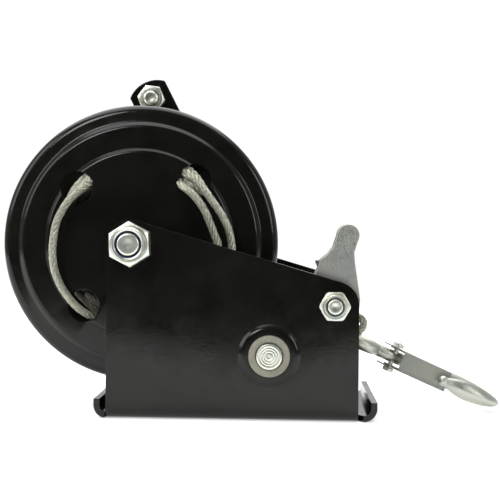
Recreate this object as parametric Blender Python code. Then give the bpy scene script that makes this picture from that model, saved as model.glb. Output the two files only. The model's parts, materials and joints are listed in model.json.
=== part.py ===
"""Boat trailer winch: a folded steel frame, a geared cable drum, a crank, a pawl and a snap hook.

Units are metres. The origin is the centre of the base's underside. +X points to the hook,
+Y to the crank and +Z up. Every shaft lies along Y.
"""

from math import asin, atan2, cos, hypot, pi, radians, sin, sqrt

import bmesh
import bpy
from mathutils import Matrix, Vector

# Driving dimensions
SHEET = 0.003  # the frame's sheet
FRAME_WIDTH = 0.092  # over the two side plates
PLATE_LEFT = -0.0626
PLATE_RIGHT = 0.0594
BASE_HALF_LENGTH = 0.0687  # to the outside of the end lips
LIP_HEIGHT = 0.0093
LIP_HALF_WIDTH = 0.0440
BEND_RADIUS = 0.0050  # to the middle of the sheet
GAP = 0.0003  # between pieces that touch

DRUM_X, DRUM_Z = -0.051, 0.0844
PINION_X, PINION_Z = 0.01627, 0.03146
PAWL_X, PAWL_Z = 0.0474, 0.0559
TOP_CORNER_LEFT = 0.0116
TOP_CORNER_RIGHT = 0.0118

AXLE_RADIUS, AXLE_BORE = 0.0060, 0.0063
SHAFT_RADIUS, SHAFT_BORE = 0.0063, 0.0066
PAWL_BOLT_RADIUS, PAWL_BOLT_BORE = 0.0040, 0.0043
BOSS_RADIUS = 0.0147
BUSH_HOLE = 0.0103
SLOT_X, SLOT_Y = 0.038, 0.021  # the base's mounting slots
SLOT_HALF_STRAIGHT, SLOT_RADIUS = 0.0045, 0.0055

MODULE = 0.003
DRUM_TEETH = 44
PINION_TEETH = 13
PRESSURE_ANGLE = radians(20)
BACKLASH = 0.0007
RATCHET_TEETH = 12
RATCHET_NEAR, RATCHET_FAR = -0.0370, -0.0310

DISC_RADIUS = 0.0705
DISC_FACE = -0.013  # Y of the flange's flat middle
DISC_SHEET = 0.002
LACING_HOLE_CIRCLE = 0.0427
LACING_HOLE_RADIUS = 0.0082
LACING_HOLE_START = 49.0  # degrees, then every 90
HUB_HOLE = 0.0096
CORE_RADIUS, CORE_BORE = 0.0250, 0.0225
GEAR_FACE = 0.031  # Y of the gear's near face
GEAR_THICKNESS = 0.005

CABLE_RADIUS = 0.002
TAIL_DROP = 0.0416  # from the drum's axis down to the cable that leaves it
CRANK_LENGTH_X, CRANK_LENGTH_Z = -0.06877, 0.13274  # from the pinion's axis to the grip's
ARM_NEAR, ARM_FAR = 0.0560, 0.0610
GRIP_LENGTH = 0.060
GRIP_BORE = 0.0043

EYE_X, EYE_Z = 0.0522, 0.0392  # where the hook's ring hangs in the cable's eye
EYE_CROWN = (0.0081, 0.0049)  # from there to the middle of the eye's outer bend
EYE_CROWN_RADIUS = 0.0038
HOOK_SLOPE = radians(23.5)  # below the horizontal
HOOK_RING = 0.0095  # middle radius of the hook's own eye
HOOK_WIRE = 0.0032

NEAR_FACE = -FRAME_WIDTH / 2
FAR_FACE = FRAME_WIDTH / 2
NEAR_INNER = NEAR_FACE + SHEET
FAR_INNER = FAR_FACE - SHEET
PAWL_REST_LIFT = radians(8)  # the pawl rests this far out of the ratchet

HOOK_ALONG = Vector((cos(HOOK_SLOPE), 0, -sin(HOOK_SLOPE)))
HOOK_ACROSS = Vector((0, -1, 0))
HOOK_UP = Vector((sin(HOOK_SLOPE), 0, cos(HOOK_SLOPE)))
HOOK_EYE = Vector((EYE_X, 0, EYE_Z)) + HOOK_RING * HOOK_ALONG
LATCH_PIN_ALONG = 0.0204
LATCH_PIN_RADIUS, LATCH_BORE = 0.0013, 0.0016


# Materials and objects

def clear_scene():
    for obj in list(bpy.data.objects):
        bpy.data.objects.remove(obj, do_unlink=True)


def material(name, colour, roughness, metallic):
    mat = bpy.data.materials.get(name) or bpy.data.materials.new(name)
    mat.use_nodes = True
    shader = mat.node_tree.nodes["Principled BSDF"]
    shader.inputs["Base Color"].default_value = (*colour, 1)
    shader.inputs["Roughness"].default_value = roughness
    shader.inputs["Metallic"].default_value = metallic
    return mat


def black_paint():
    return material("black_paint", (0.012, 0.012, 0.012), 0.18, 0.0)


def zinc():
    return material("zinc", (0.62, 0.63, 0.60), 0.3, 1.0)


def steel():
    return material("steel", (0.42, 0.42, 0.42), 0.4, 1.0)


def wire_rope():
    return material("wire_rope", (0.55, 0.55, 0.52), 0.4, 1.0)


def sintered_bronze():
    return material("sintered_bronze", (0.40, 0.36, 0.29), 0.6, 0.6)


def blue_nylon():
    return material("blue_nylon", (0.03, 0.05, 0.16), 0.5, 0.0)


def grip_plastic():
    return material("grip_plastic", (0.02, 0.02, 0.02), 0.5, 0.0)


def joint_empty(name, place, parent=None):
    """An empty on a joint's axis. The pieces that turn there are its children."""
    empty = bpy.data.objects.new(name, None)
    bpy.context.collection.objects.link(empty)
    empty["place"] = tuple(place)
    offset = Vector(parent["place"]) if parent else Vector()
    empty.location = Vector(place) - offset
    empty.parent = parent
    return empty


def add_object(name, bm, mat, parent=None, sharp=35):
    """Make an object of world-space geometry, with its origin on its parent's axis."""
    bmesh.ops.recalc_face_normals(bm, faces=bm.faces)
    mesh = bpy.data.meshes.new(name)
    origin = Vector(parent["place"]) if parent else Vector()
    bmesh.ops.translate(bm, verts=bm.verts, vec=-origin)
    bm.to_mesh(mesh)
    bm.free()
    mesh.materials.append(mat)
    mesh.shade_smooth()
    mesh.set_sharp_from_angle(angle=radians(sharp))
    obj = bpy.data.objects.new(name, mesh)
    bpy.context.collection.objects.link(obj)
    obj.parent = parent
    return obj


def boolean(obj, cutter, operation="DIFFERENCE"):
    cutter.hide_render = True
    cutter.display_type = "WIRE"
    modifier = obj.modifiers.new(operation.lower(), "BOOLEAN")
    modifier.operation = operation
    modifier.solver = "EXACT"
    modifier.object = cutter


# Shapes

def polar(centre, radius, angle):
    return centre[0] + radius * cos(angle), centre[1] + radius * sin(angle)


def arc(centre, radius, start, end, steps):
    """Points of an arc between two angles in degrees, both ends included."""
    span = radians(end - start)
    return [polar(centre, radius, radians(start) + span * i / steps) for i in range(steps + 1)]


def circle(centre, radius, count, start=0.0):
    return [polar(centre, radius, radians(start) + 2 * pi * i / count) for i in range(count)]


def fill_flat(bm, outlines, y):
    """A flat sheet in an XZ plane: the first outline is its edge, the rest are its holes."""
    edges = []
    for outline in outlines:
        verts = [bm.verts.new((x, y, z)) for x, z in outline]
        edges += [bm.edges.new((verts[i - 1], verts[i])) for i in range(len(verts))]
    bmesh.ops.triangle_fill(bm, use_beauty=True, edges=edges)


def prism(bm, outlines, low, high):
    """A closed solid between two Y planes, with holes from the second outline on."""
    part = bmesh.new()
    fill_flat(part, outlines, low)
    sides = bmesh.ops.extrude_face_region(part, geom=part.faces[:])
    moved = [g for g in sides["geom"] if isinstance(g, bmesh.types.BMVert)]
    bmesh.ops.translate(part, verts=moved, vec=(0, high - low, 0))
    bmesh.ops.recalc_face_normals(part, faces=part.faces)
    append(bm, part)


def append(bm, part, matrix=None):
    """Copy one bmesh into another, moved by a matrix, and free it."""
    if matrix:
        bmesh.ops.transform(part, matrix=matrix, verts=part.verts)
    mesh = bpy.data.meshes.new("part")
    part.to_mesh(mesh)
    part.free()
    bm.from_mesh(mesh)
    bpy.data.meshes.remove(mesh)


def hexagon(across_flats, angle, turn):
    """Distance from a hexagon's centre to its edge."""
    return across_flats / 2 / cos((angle - turn + pi / 6) % (pi / 3) - pi / 6)


def turned(bm, sections, centre, segments=48, turn=0.0):
    """A solid of revolution about a Y axis from a closed run of (radius, y) sections.

    A section with a third value is a hexagon: its radius is half the size across flats, and
    the third value, a radius, rounds its corners off.
    """
    rings = []
    for radius, y, *corner in sections:
        ring = []
        for i in range(segments):
            angle = 2 * pi * i / segments + turn
            reach = min(hexagon(2 * radius, angle, turn), corner[0]) if corner else radius
            x, z = polar(centre, reach, angle)
            ring.append(bm.verts.new((x, y, z)))
        rings.append(ring)
    for i, ring in enumerate(rings):
        last = rings[i - 1]
        for j in range(segments):
            k = (j + 1) % segments
            bm.faces.new((last[j], last[k], ring[k], ring[j]))
    bmesh.ops.remove_doubles(bm, verts=bm.verts, dist=1e-7)
    bmesh.ops.dissolve_degenerate(bm, edges=bm.edges, dist=1e-7)


def tube_sections(inner, outer, low, high):
    return [(inner, low), (outer, low), (outer, high), (inner, high)]


def rod_sections(radius, low, high, chamfer=0.0):
    return [(0, low), (radius - chamfer, low), (radius, low + chamfer),
            (radius, high - chamfer), (radius - chamfer, high), (0, high)]


def turned_object(name, sections, centre, mat, parent=None, segments=48, turn=0.0):
    bm = bmesh.new()
    turned(bm, sections, centre, segments, turn)
    return add_object(name, bm, mat, parent)


def locking_nut(name, centre, seat, across_flats, bore, height, turn, parent=None, side=-1):
    """A hexagon nut with a round collar. side is the way it points along Y."""
    corner = across_flats / 2 / cos(pi / 6)
    collar = across_flats * 0.43
    rings = [(bore, 0), (across_flats / 2 * 0.94, 0, corner * 0.93),
             (across_flats / 2, 0.0007, corner), (across_flats / 2, height * 0.62, corner),
             (across_flats / 2 * 0.95, height * 0.70, corner * 0.92),
             (collar, height * 0.74), (collar, height * 0.93), (collar * 0.93, height),
             (collar * 0.80, height), (collar * 0.80, height * 0.72), (bore, height * 0.72)]
    sections = [(r, seat + side * y, *c) for r, y, *c in rings]
    return turned_object(name, sections, centre, zinc(), parent, 24, turn)


def insert_ring(name, centre, seat, across_flats, bore, height, side=-1):
    """The nylon ring inside a locking nut's collar."""
    outer = across_flats * 0.43 * 0.80 - GAP
    low, high = sorted((seat + side * height * 0.77, seat + side * height * 0.97))
    return turned_object(name, tube_sections(bore, outer, low, high), centre, blue_nylon(),
                         segments=32)


def bolt(name, centre, radius, tip, seat, across_flats, head, parent=None, side=1, turn=0.0):
    """A hexagon bolt along Y: its head sits on seat and its shank ends at tip."""
    corner = across_flats / 2 / cos(pi / 6)
    sections = [(0, tip), (radius * 0.82, tip), (radius, tip + side * radius * 0.18),
                (radius, seat), (across_flats / 2 * 0.94, seat, corner * 0.93),
                (across_flats / 2, seat + side * 0.0007, corner),
                (across_flats / 2, seat + side * head * 0.85, corner),
                (across_flats / 2 * 0.9, seat + side * head, corner * 0.88),
                (0, seat + side * head)]
    return turned_object(name, sections, centre, zinc(), parent, 24, turn)


def smooth_path(points, spacing):
    """Points at even spacing along a Catmull-Rom curve through the points given."""
    points = [Vector(p) for p in points]
    ends = [2 * points[0] - points[1], 2 * points[-1] - points[-2]]
    knots = [ends[0], *points, ends[1]]
    fine = []
    for i in range(1, len(knots) - 2):
        before, start, end, after = knots[i - 1:i + 3]
        for j in range(16):
            t = j / 16
            fine.append(0.5 * (2 * start + (end - before) * t
                               + (2 * before - 5 * start + 4 * end - after) * t ** 2
                               + (3 * start - 3 * end + after - before) * t ** 3))
    fine.append(points[-1])
    return even_path(fine, spacing)


def even_path(points, spacing):
    points = [Vector(p) for p in points]
    reach = [0.0]
    for a, b in zip(points, points[1:]):
        reach.append(reach[-1] + (b - a).length)
    count = max(2, round(reach[-1] / spacing) + 1)
    out, k = [], 0
    for i in range(count):
        want = reach[-1] * i / (count - 1)
        while k < len(points) - 2 and reach[k + 1] < want:
            k += 1
        step = (want - reach[k]) / (reach[k + 1] - reach[k])
        out.append(points[k].lerp(points[k + 1], step))
    return out


def cable(name, points, parent=None, mat=None):
    """A plain round tube along a path, as a bevelled curve with filled caps."""
    curve = bpy.data.curves.new(name, "CURVE")
    curve.dimensions = "3D"
    curve.bevel_depth = CABLE_RADIUS
    curve.bevel_resolution = 2
    curve.use_fill_caps = True
    origin = Vector(parent["place"]) if parent else Vector()
    spline = curve.splines.new("POLY")
    spline.points.add(len(points) - 1)
    for target, point in zip(spline.points, points):
        target.co = (*(Vector(point) - origin), 1)
    curve.materials.append(mat or wire_rope())
    obj = bpy.data.objects.new(name, curve)
    bpy.context.collection.objects.link(obj)
    obj.parent = parent
    return obj


def gear_outline(centre, teeth, tip, root, turn):
    """A spur gear's outline with involute flanks, one tooth centred on the angle turn."""
    pitch = MODULE * teeth / 2
    base = pitch * cos(PRESSURE_ANGLE)

    def roll(radius):
        slant = sqrt(max((radius / base) ** 2 - 1, 0))
        return slant - atan2(slant, 1)

    half = pi / (2 * teeth) - BACKLASH / (4 * pitch) + roll(pitch)
    low = max(base, root)
    flank = [(root, half - roll(low))] if root < base else []
    flank += [(r, half - roll(r)) for r in (low + (tip - low) * i / 3 for i in range(4))]
    outline = []
    for k in range(teeth):
        middle = turn + 2 * pi * k / teeth
        outline += [polar(centre, r, middle - a) for r, a in flank]
        outline += [polar(centre, r, middle + a) for r, a in reversed(flank)]
    return outline


# Frame

def top_edge(point_count):
    """The side plate's edge from its left side over both rounded corners to its right."""
    dx, dz = PAWL_X - DRUM_X, PAWL_Z - DRUM_Z
    lean = asin((TOP_CORNER_LEFT - TOP_CORNER_RIGHT) / hypot(dx, dz))
    normal = 90 + (atan2(dz, dx) - lean) * 180 / pi
    return (arc((DRUM_X, DRUM_Z), TOP_CORNER_LEFT, 180, normal, point_count)
            + arc((PAWL_X, PAWL_Z), TOP_CORNER_RIGHT, normal, 0, point_count))


def add_side_plate(bm, side):
    """One side plate's middle surface, with a raised boss round the pinion's bush."""
    y = side * (FRAME_WIDTH / 2 - SHEET / 2)
    foot = BEND_RADIUS + SHEET / 2
    pinion = (PINION_X, PINION_Z)
    outline = [(PLATE_RIGHT, foot), (PLATE_LEFT, foot)] + top_edge(8)
    fill_flat(bm, [outline, circle((DRUM_X, DRUM_Z), AXLE_BORE, 24),
                   circle((PAWL_X, PAWL_Z), PAWL_BOLT_BORE, 16), circle(pinion, BOSS_RADIUS, 32)], y)
    steps = [(BOSS_RADIUS, 0.0), (0.0136, 0.0007), (0.0125, 0.0014), (BUSH_HOLE, 0.0015)]
    rings = [[bm.verts.new((x, y + side * lift, z)) for x, z in circle(pinion, radius, 32)]
             for radius, lift in steps]
    for outer, inner in zip(rings, rings[1:]):
        for i in range(32):
            bm.faces.new((outer[i - 1], outer[i], inner[i], inner[i - 1]))


def slot_outline(x, y, half_straight, radius):
    right = arc((x + half_straight, y), radius, -90, 90, 6)
    left = arc((x - half_straight, y), radius, 90, 270, 6)
    return right + left


def add_base(bm):
    """The base, its bends up to the side plates and its end lips, as a middle surface."""
    edge = FRAME_WIDTH / 2 - SHEET / 2 - BEND_RADIUS
    end = BASE_HALF_LENGTH - SHEET / 2 - BEND_RADIUS
    floor = SHEET / 2
    outline = [(PLATE_LEFT, -edge), (PLATE_RIGHT, -edge), (end, -LIP_HALF_WIDTH),
               (end, LIP_HALF_WIDTH), (PLATE_RIGHT, edge), (PLATE_LEFT, edge)]
    slots = [slot_outline(x, y, SLOT_HALF_STRAIGHT, SLOT_RADIUS)
             for x, y in ((-SLOT_X, -SLOT_Y), (-SLOT_X, SLOT_Y), (SLOT_X, 0.0))]
    part = bmesh.new()
    fill_flat(part, [outline, *slots], 0)
    append(bm, part, Matrix.Translation((0, 0, floor)) @ Matrix.Rotation(pi / 2, 4, "X"))
    for side in (-1, 1):
        bend = [(side * (edge + BEND_RADIUS * sin(a)), floor + BEND_RADIUS * (1 - cos(a)))
                for a in (pi / 8 * i for i in range(5))]
        strip(bm, [[(x, y, z) for y, z in bend] for x in (PLATE_LEFT, PLATE_RIGHT)])
    for start, side in ((PLATE_LEFT, -1), (end, 1)):
        radius = BEND_RADIUS if side > 0 else BASE_HALF_LENGTH - SHEET / 2 + PLATE_LEFT
        lip = [(start + side * radius * sin(a), floor + radius * (1 - cos(a)))
               for a in (pi / 8 * i for i in range(5))]
        lip.append((lip[-1][0], LIP_HEIGHT))
        widths = [LIP_HALF_WIDTH if side > 0 else edge] + [LIP_HALF_WIDTH] * (len(lip) - 1)
        strip(bm, [[(x, way * width, z) for (x, z), width in zip(lip, widths)]
                   for way in (-1, 1)])


def strip(bm, rows):
    """Quads between rows of points."""
    rows = [[bm.verts.new(p) for p in row] for row in rows]
    for a, b in zip(rows, rows[1:]):
        for i in range(len(a) - 1):
            bm.faces.new((a[i], a[i + 1], b[i + 1], b[i]))


def make_frame():
    bm = bmesh.new()
    for side in (-1, 1):
        add_side_plate(bm, side)
    add_base(bm)
    bmesh.ops.remove_doubles(bm, verts=bm.verts, dist=2e-6)
    obj = add_object("frame", bm, black_paint())
    sheet = obj.modifiers.new("sheet", "SOLIDIFY")
    sheet.thickness = SHEET
    sheet.offset = 0
    sheet.use_even_offset = True


def make_frame_fasteners():
    drum, pawl = (DRUM_X, DRUM_Z), (PAWL_X, PAWL_Z)
    seat = NEAR_FACE - GAP
    bolt("drum_axle_bolt", drum, AXLE_RADIUS, -0.0590, FAR_FACE + GAP, 0.018, 0.0075)
    locking_nut("axle_nut", drum, seat, 0.019, AXLE_BORE, 0.0125, radians(2.6))
    insert_ring("axle_nut_insert", drum, seat, 0.019, AXLE_BORE, 0.0125)
    bolt("pawl_bolt", pawl, PAWL_BOLT_RADIUS, -0.0555, FAR_FACE + GAP, 0.013, 0.0053)
    locking_nut("pawl_nut", pawl, seat, 0.0135, PAWL_BOLT_BORE, 0.0085, radians(30))
    insert_ring("pawl_nut_insert", pawl, seat, 0.0135, PAWL_BOLT_BORE, 0.0085)
    for name, centre, bore, outer, low, high in (
            ("pawl_spacer", pawl, PAWL_BOLT_BORE, 0.0065, -0.0253, FAR_INNER - GAP),
            ("axle_spacer_near", drum, AXLE_BORE, 0.0092, NEAR_INNER + GAP, -0.0163),
            ("axle_spacer_far", drum, AXLE_BORE, 0.0092, 0.0393, FAR_INNER - GAP)):
        turned_object(name, tube_sections(bore, outer, low, high), centre, zinc(), segments=24)
    for name, side in (("pinion_bush_near", -1), ("pinion_bush_far", 1)):
        flange, inner = side * (FAR_INNER - 0.0013), side * (FAR_INNER + 0.0012 - 0.0005)
        outer = side * (FAR_FACE + 0.0035)
        sections = [(SHAFT_BORE, flange), (0.0118, flange), (0.0118, inner),
                    (BUSH_HOLE - GAP, inner), (BUSH_HOLE - GAP, outer), (SHAFT_BORE, outer)]
        turned_object(name, sections, (PINION_X, PINION_Z), sintered_bronze(), segments=24)


# Drum

def disc_profile():
    """The near flange's middle surface as (radius, y), from its hub hole to its rolled rim."""
    middle = DISC_FACE + DISC_SHEET / 2
    flat = [(HUB_HOLE, middle), (0.030, middle), (0.0462, middle), (0.0478, middle + 0.0014),
            (0.0592, middle + 0.0022), (0.0618, middle + 0.0038), (0.0660, middle + 0.0042)]
    rim = 0.0035
    centre = (DISC_RADIUS - DISC_SHEET / 2 - rim, middle + 0.0044 + rim)
    rolled = arc(centre, rim, -90, 0, 4)
    return flat + rolled + [(centre[0] + rim, centre[1] + 0.0025)]


def make_disc(parent):
    bm = bmesh.new()
    segments = 60
    profile = disc_profile()
    rings = []
    for radius, y in profile:
        points = circle((DRUM_X, DRUM_Z), radius, segments)
        rings.append([bm.verts.new((x, y, z)) for x, z in points])
    for inner, outer in zip(rings, rings[1:]):
        for i in range(segments):
            bm.faces.new((inner[i - 1], inner[i], outer[i], outer[i - 1]))
    obj = add_object("drum_flange", bm, black_paint(), parent)
    sheet = obj.modifiers.new("sheet", "SOLIDIFY")
    sheet.thickness = DISC_SHEET
    sheet.offset = 0
    sheet.use_even_offset = True
    cutter = bmesh.new()
    for k in range(4):
        angle = radians(LACING_HOLE_START + 90 * k)
        centre = polar((DRUM_X, DRUM_Z), LACING_HOLE_CIRCLE, angle)
        turned(cutter, rod_sections(LACING_HOLE_RADIUS, -0.02, 0.0), centre, 24)
    boolean(obj, add_object("lacing_hole_cutter", cutter, black_paint(), parent))


def make_gear(parent):
    centre = (DRUM_X, DRUM_Z)
    pitch = MODULE * DRUM_TEETH / 2
    turn = atan2(PINION_Z - DRUM_Z, PINION_X - DRUM_X)
    outline = gear_outline(centre, DRUM_TEETH, pitch + 0.0024, pitch - 0.0036, turn)
    bm = bmesh.new()
    prism(bm, [outline, circle(centre, HUB_HOLE, 32)], GEAR_FACE, GEAR_FACE + GEAR_THICKNESS)
    add_object("drum_gear", bm, black_paint(), parent)


def make_drum_inside(parent):
    centre = (DRUM_X, DRUM_Z)
    face = DISC_FACE + DISC_SHEET + GAP
    turned_object("drum_core", tube_sections(CORE_BORE, CORE_RADIUS, face, GEAR_FACE - GAP),
                  centre, steel(), parent, 32)
    turned_object("drum_sleeve", tube_sections(AXLE_BORE, HUB_HOLE - GAP, -0.0160, 0.0390),
                  centre, sintered_bronze(), parent, 32)
    inner, full = CORE_RADIUS + GAP, 0.0393
    sections = [(inner, -0.0098), (0.0436, -0.0098), (0.0436, 0.0035), (full, 0.0035),
                (full, GEAR_FACE - 0.0008), (inner, GEAR_FACE - 0.0008)]
    turned_object("cable_winding", sections, centre, wire_rope(), parent, 48)


def lacing_path(start, end, radius, bulge, lift):
    """A strand from one lacing hole to the next: angles in degrees round the drum's axis."""
    points = []
    for i in range(7):
        t = i / 6
        angle = radians(start + (end - start) * t)
        out = radius + bulge * sin(pi * t)
        x, z = polar((DRUM_X, DRUM_Z), out, angle)
        rise = min(1.0, 1.35 * sin(pi * t) ** 0.55) if 0 < t < 1 else 0.0
        points.append((x, -0.0126 - lift * rise, z))
    return smooth_path(points, 0.0046)


def make_lacing(parent):
    strands = (("cable_lacing_left", lacing_path(137, 231, 0.0415, 0.0032, 0.0075)),
               ("cable_lacing_inner", lacing_path(46, -43, 0.0400, 0.0020, 0.0060)),
               ("cable_lacing_outer", lacing_path(51, -38, 0.0462, 0.0040, 0.0060)))
    for name, points in strands:
        cable(name, points, parent)


def make_anchor(parent):
    """A clamp plate and two small bolts that hold the cable's inner end to the gear."""
    centre = polar((DRUM_X, DRUM_Z), 0.034, radians(35))
    face = GEAR_FACE + GEAR_THICKNESS + GAP
    outline = slot_outline(centre[0], centre[1], 0.007, 0.0055)
    bm = bmesh.new()
    prism(bm, [outline], face, face + 0.0016)
    add_object("anchor_plate", bm, zinc(), parent)
    low, high = face + 0.0016 + GAP, face + 0.0052
    sections = [(0, low), (0.0038, low, 0.0044), (0.0038, high, 0.0044), (0, high)]
    for name, side in (("anchor_bolt_left", -1), ("anchor_bolt_right", 1)):
        place = (centre[0] + side * 0.007, centre[1])
        turned_object(name, sections, place, zinc(), parent, 12)


# Crank

def make_pinion_shaft(parent):
    centre = (PINION_X, PINION_Z)
    turned_object("pinion_shaft", rod_sections(SHAFT_RADIUS, -0.0512, 0.0700, 0.0009), centre,
                  zinc(), parent, 32)
    pitch = MODULE * PINION_TEETH / 2
    meshing = atan2(DRUM_Z - PINION_Z, DRUM_X - PINION_X)
    outline = gear_outline(centre, PINION_TEETH, pitch + 0.0024, pitch - 0.0040,
                           meshing + pi / PINION_TEETH)
    bm = bmesh.new()
    prism(bm, [outline, circle(centre, SHAFT_BORE, 32)], GEAR_FACE - 0.001, 0.0380)
    add_object("pinion_gear", bm, steel(), parent)


def make_ratchet(parent):
    centre = (PINION_X, PINION_Z)
    tip, root = 0.0195, 0.0148
    outline = []
    for k in range(RATCHET_TEETH):
        face = radians(91 + 360 / RATCHET_TEETH * k)
        step = 2 * pi / RATCHET_TEETH
        outline += [polar(centre, root, face), polar(centre, tip, face),
                    polar(centre, tip - 0.0004, face + step * 0.12)]
        outline.append(polar(centre, root + 0.0003, face + step * 0.85))
    bm = bmesh.new()
    prism(bm, [outline, circle(centre, SHAFT_BORE, 32)], RATCHET_NEAR, RATCHET_FAR)
    add_object("ratchet_wheel", bm, steel(), parent)
    turned_object("shaft_spacer", tube_sections(SHAFT_BORE, 0.0076, RATCHET_FAR + GAP, GEAR_FACE - 0.0013),
                  centre, zinc(), parent, 24)


def make_arm(parent):
    """The crank arm: a flat bar with a shallow rounded outer end and a round inner end."""
    length = hypot(CRANK_LENGTH_X, CRANK_LENGTH_Z)
    direction = atan2(CRANK_LENGTH_Z, CRANK_LENGTH_X)
    half, bow, swing = 0.0109, 0.0163, 42
    outline = arc((0, 0), half + 0.0017, 122, 238, 8)
    outline += arc((length + 0.0102 - bow, 0), bow, -swing, swing, 8)
    turn = [(PINION_X + x * cos(direction) - z * sin(direction),
             PINION_Z + x * sin(direction) + z * cos(direction)) for x, z in outline]
    grip = polar((PINION_X, PINION_Z), length, direction)
    bm = bmesh.new()
    prism(bm, [turn, circle((PINION_X, PINION_Z), SHAFT_BORE, 24), circle(grip, GRIP_BORE, 16)],
          ARM_NEAR, ARM_FAR)
    obj = add_object("crank_arm", bm, black_paint(), parent)
    edge = obj.modifiers.new("edge", "BEVEL")
    edge.width = 0.0006
    edge.segments = 1
    edge.limit_method = "ANGLE"
    edge.angle_limit = radians(50)
    return grip


def make_crank(parent, spinner, grip):
    centre = (PINION_X, PINION_Z)
    sections = tube_sections(SHAFT_BORE, 0.0095, FAR_FACE + 0.0038, ARM_NEAR - GAP)
    turned_object("arm_spacer", sections, centre, zinc(), parent, 24)
    seat = ARM_FAR + GAP
    sections = [(SHAFT_BORE, seat), (0.0090, seat, 0.0100), (0.0095, seat + 0.0007, 0.0110),
                (0.0095, seat + 0.0063, 0.0110), (0.0090, seat + 0.0070, 0.0100),
                (SHAFT_BORE, seat + 0.0070)]
    turned_object("crank_nut", sections, centre, zinc(), parent, 24)
    sections = [(GRIP_BORE, ARM_NEAR - GAP), (0.0064, ARM_NEAR - GAP, 0.0070),
                (0.0067, ARM_NEAR - 0.0010, 0.0077), (0.0067, ARM_NEAR - 0.0058, 0.0077),
                (0.0064, ARM_NEAR - 0.0065, 0.0070), (GRIP_BORE, ARM_NEAR - 0.0065)]
    turned_object("grip_nut", sections, grip, zinc(), parent, 24, radians(-7))
    end = ARM_FAR + GRIP_LENGTH
    sections = [(0, ARM_NEAR - 0.0090), (0.0034, ARM_NEAR - 0.0090), (0.0040, ARM_NEAR - 0.0083),
                (0.0040, end + 0.0005), (0.0068, end + 0.0005), (0.0070, end + 0.0020),
                (0.0052, end + 0.0035), (0, end + 0.0038)]
    turned_object("grip_bolt", sections, grip, zinc(), parent, 24)
    start, bore = ARM_FAR + 0.0008, 0.0044
    shape = [(0.0070, 0.0), (0.0076, 0.0015), (0.0073, 0.009), (0.0075, 0.020),
             (0.0079, 0.034), (0.0080, 0.045), (0.0076, 0.054), (0.0066, GRIP_LENGTH - 0.0013)]
    sections = [(bore, start), *[(r, start + y) for r, y in shape],
                (bore, start + GRIP_LENGTH - 0.0013)]
    turned_object("grip", sections, grip, grip_plastic(), spinner, 24)


# Pawl

def rotate_about(points, centre, angle):
    out = []
    for x, z in points:
        dx, dz = x - centre[0], z - centre[1]
        out.append((centre[0] + dx * cos(angle) - dz * sin(angle),
                    centre[1] + dx * sin(angle) + dz * cos(angle)))
    return out


THUMB, THUMB_RADIUS = (0.0537, 0.0898), 0.0054
PAWL_HUB_HOLE = 0.0073
LEVER_SHEET = 0.0017
LEVER_RIGHT = [(0.0567, 0.0815), (0.0571, 0.0770), (0.0580, 0.0710), (0.0599, 0.0585)]


def lever_outline():
    """The pawl lever's cheek: a thumb end, a waist on the right and a step on the left."""
    hub = arc((PAWL_X, PAWL_Z), 0.0122, -8, -150, 8)
    left = [(0.0366, 0.0600), (0.0376, 0.0706), (0.0395, 0.0752), (0.0401, 0.0778),
            (0.0440, 0.0810), (0.0464, 0.0842)]
    return arc(THUMB, THUMB_RADIUS, 176, -28, 10) + LEVER_RIGHT + hub + left


def make_pawl(parent):
    centre = (PAWL_X, PAWL_Z)
    bm = bmesh.new()
    cheek = lever_outline()
    for low in (-0.0415, -0.0277):
        high = low + LEVER_SHEET
        prism(bm, [cheek, circle(centre, PAWL_HUB_HOLE, 24)], low, high)
    bridge_low, bridge_high = -0.0403, -0.0272
    outer = arc(THUMB, THUMB_RADIUS, 150, -28, 8) + LEVER_RIGHT
    back = [offset_inward(outer, i, LEVER_SHEET) for i in reversed(range(len(outer)))]
    web = bmesh.new()
    prism(web, [outer + back], bridge_low, bridge_high)
    obj = add_object("pawl_lever", bm, zinc(), parent)
    boolean(obj, add_object("lever_web", web, zinc(), parent), "UNION")
    sections = tube_sections(PAWL_BOLT_BORE, PAWL_HUB_HOLE - GAP, NEAR_INNER + GAP, -0.0256)
    turned_object("pawl_hub", sections, centre, zinc(), parent, 24)
    under = [(0.0170, 0.0470), (0.0267, 0.0497), (0.0384, 0.0498)]
    under += arc(centre, 0.0092, -130, 130, 12)
    outline = under + [(0.0349, 0.0599), (0.0199, 0.0518), (0.0173, 0.0502)]
    bm = bmesh.new()
    prism(bm, [rotate_about(outline, centre, -PAWL_REST_LIFT), circle(centre, PAWL_HUB_HOLE, 24)],
          RATCHET_NEAR, RATCHET_FAR)
    add_object("pawl_tooth", bm, steel(), parent)


def offset_inward(points, i, distance):
    """The point beside points[i], to the right of the path's direction there."""
    before, after = points[max(i - 1, 0)], points[min(i + 1, len(points) - 1)]
    dx, dz = after[0] - before[0], after[1] - before[1]
    length = hypot(dx, dz)
    return points[i][0] + dz / length * distance, points[i][1] - dx / length * distance


# Free end of the cable and its hook

def hook_point(along, across, up=0.0):
    return HOOK_EYE + along * HOOK_ALONG + across * HOOK_ACROSS + up * HOOK_UP


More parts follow.
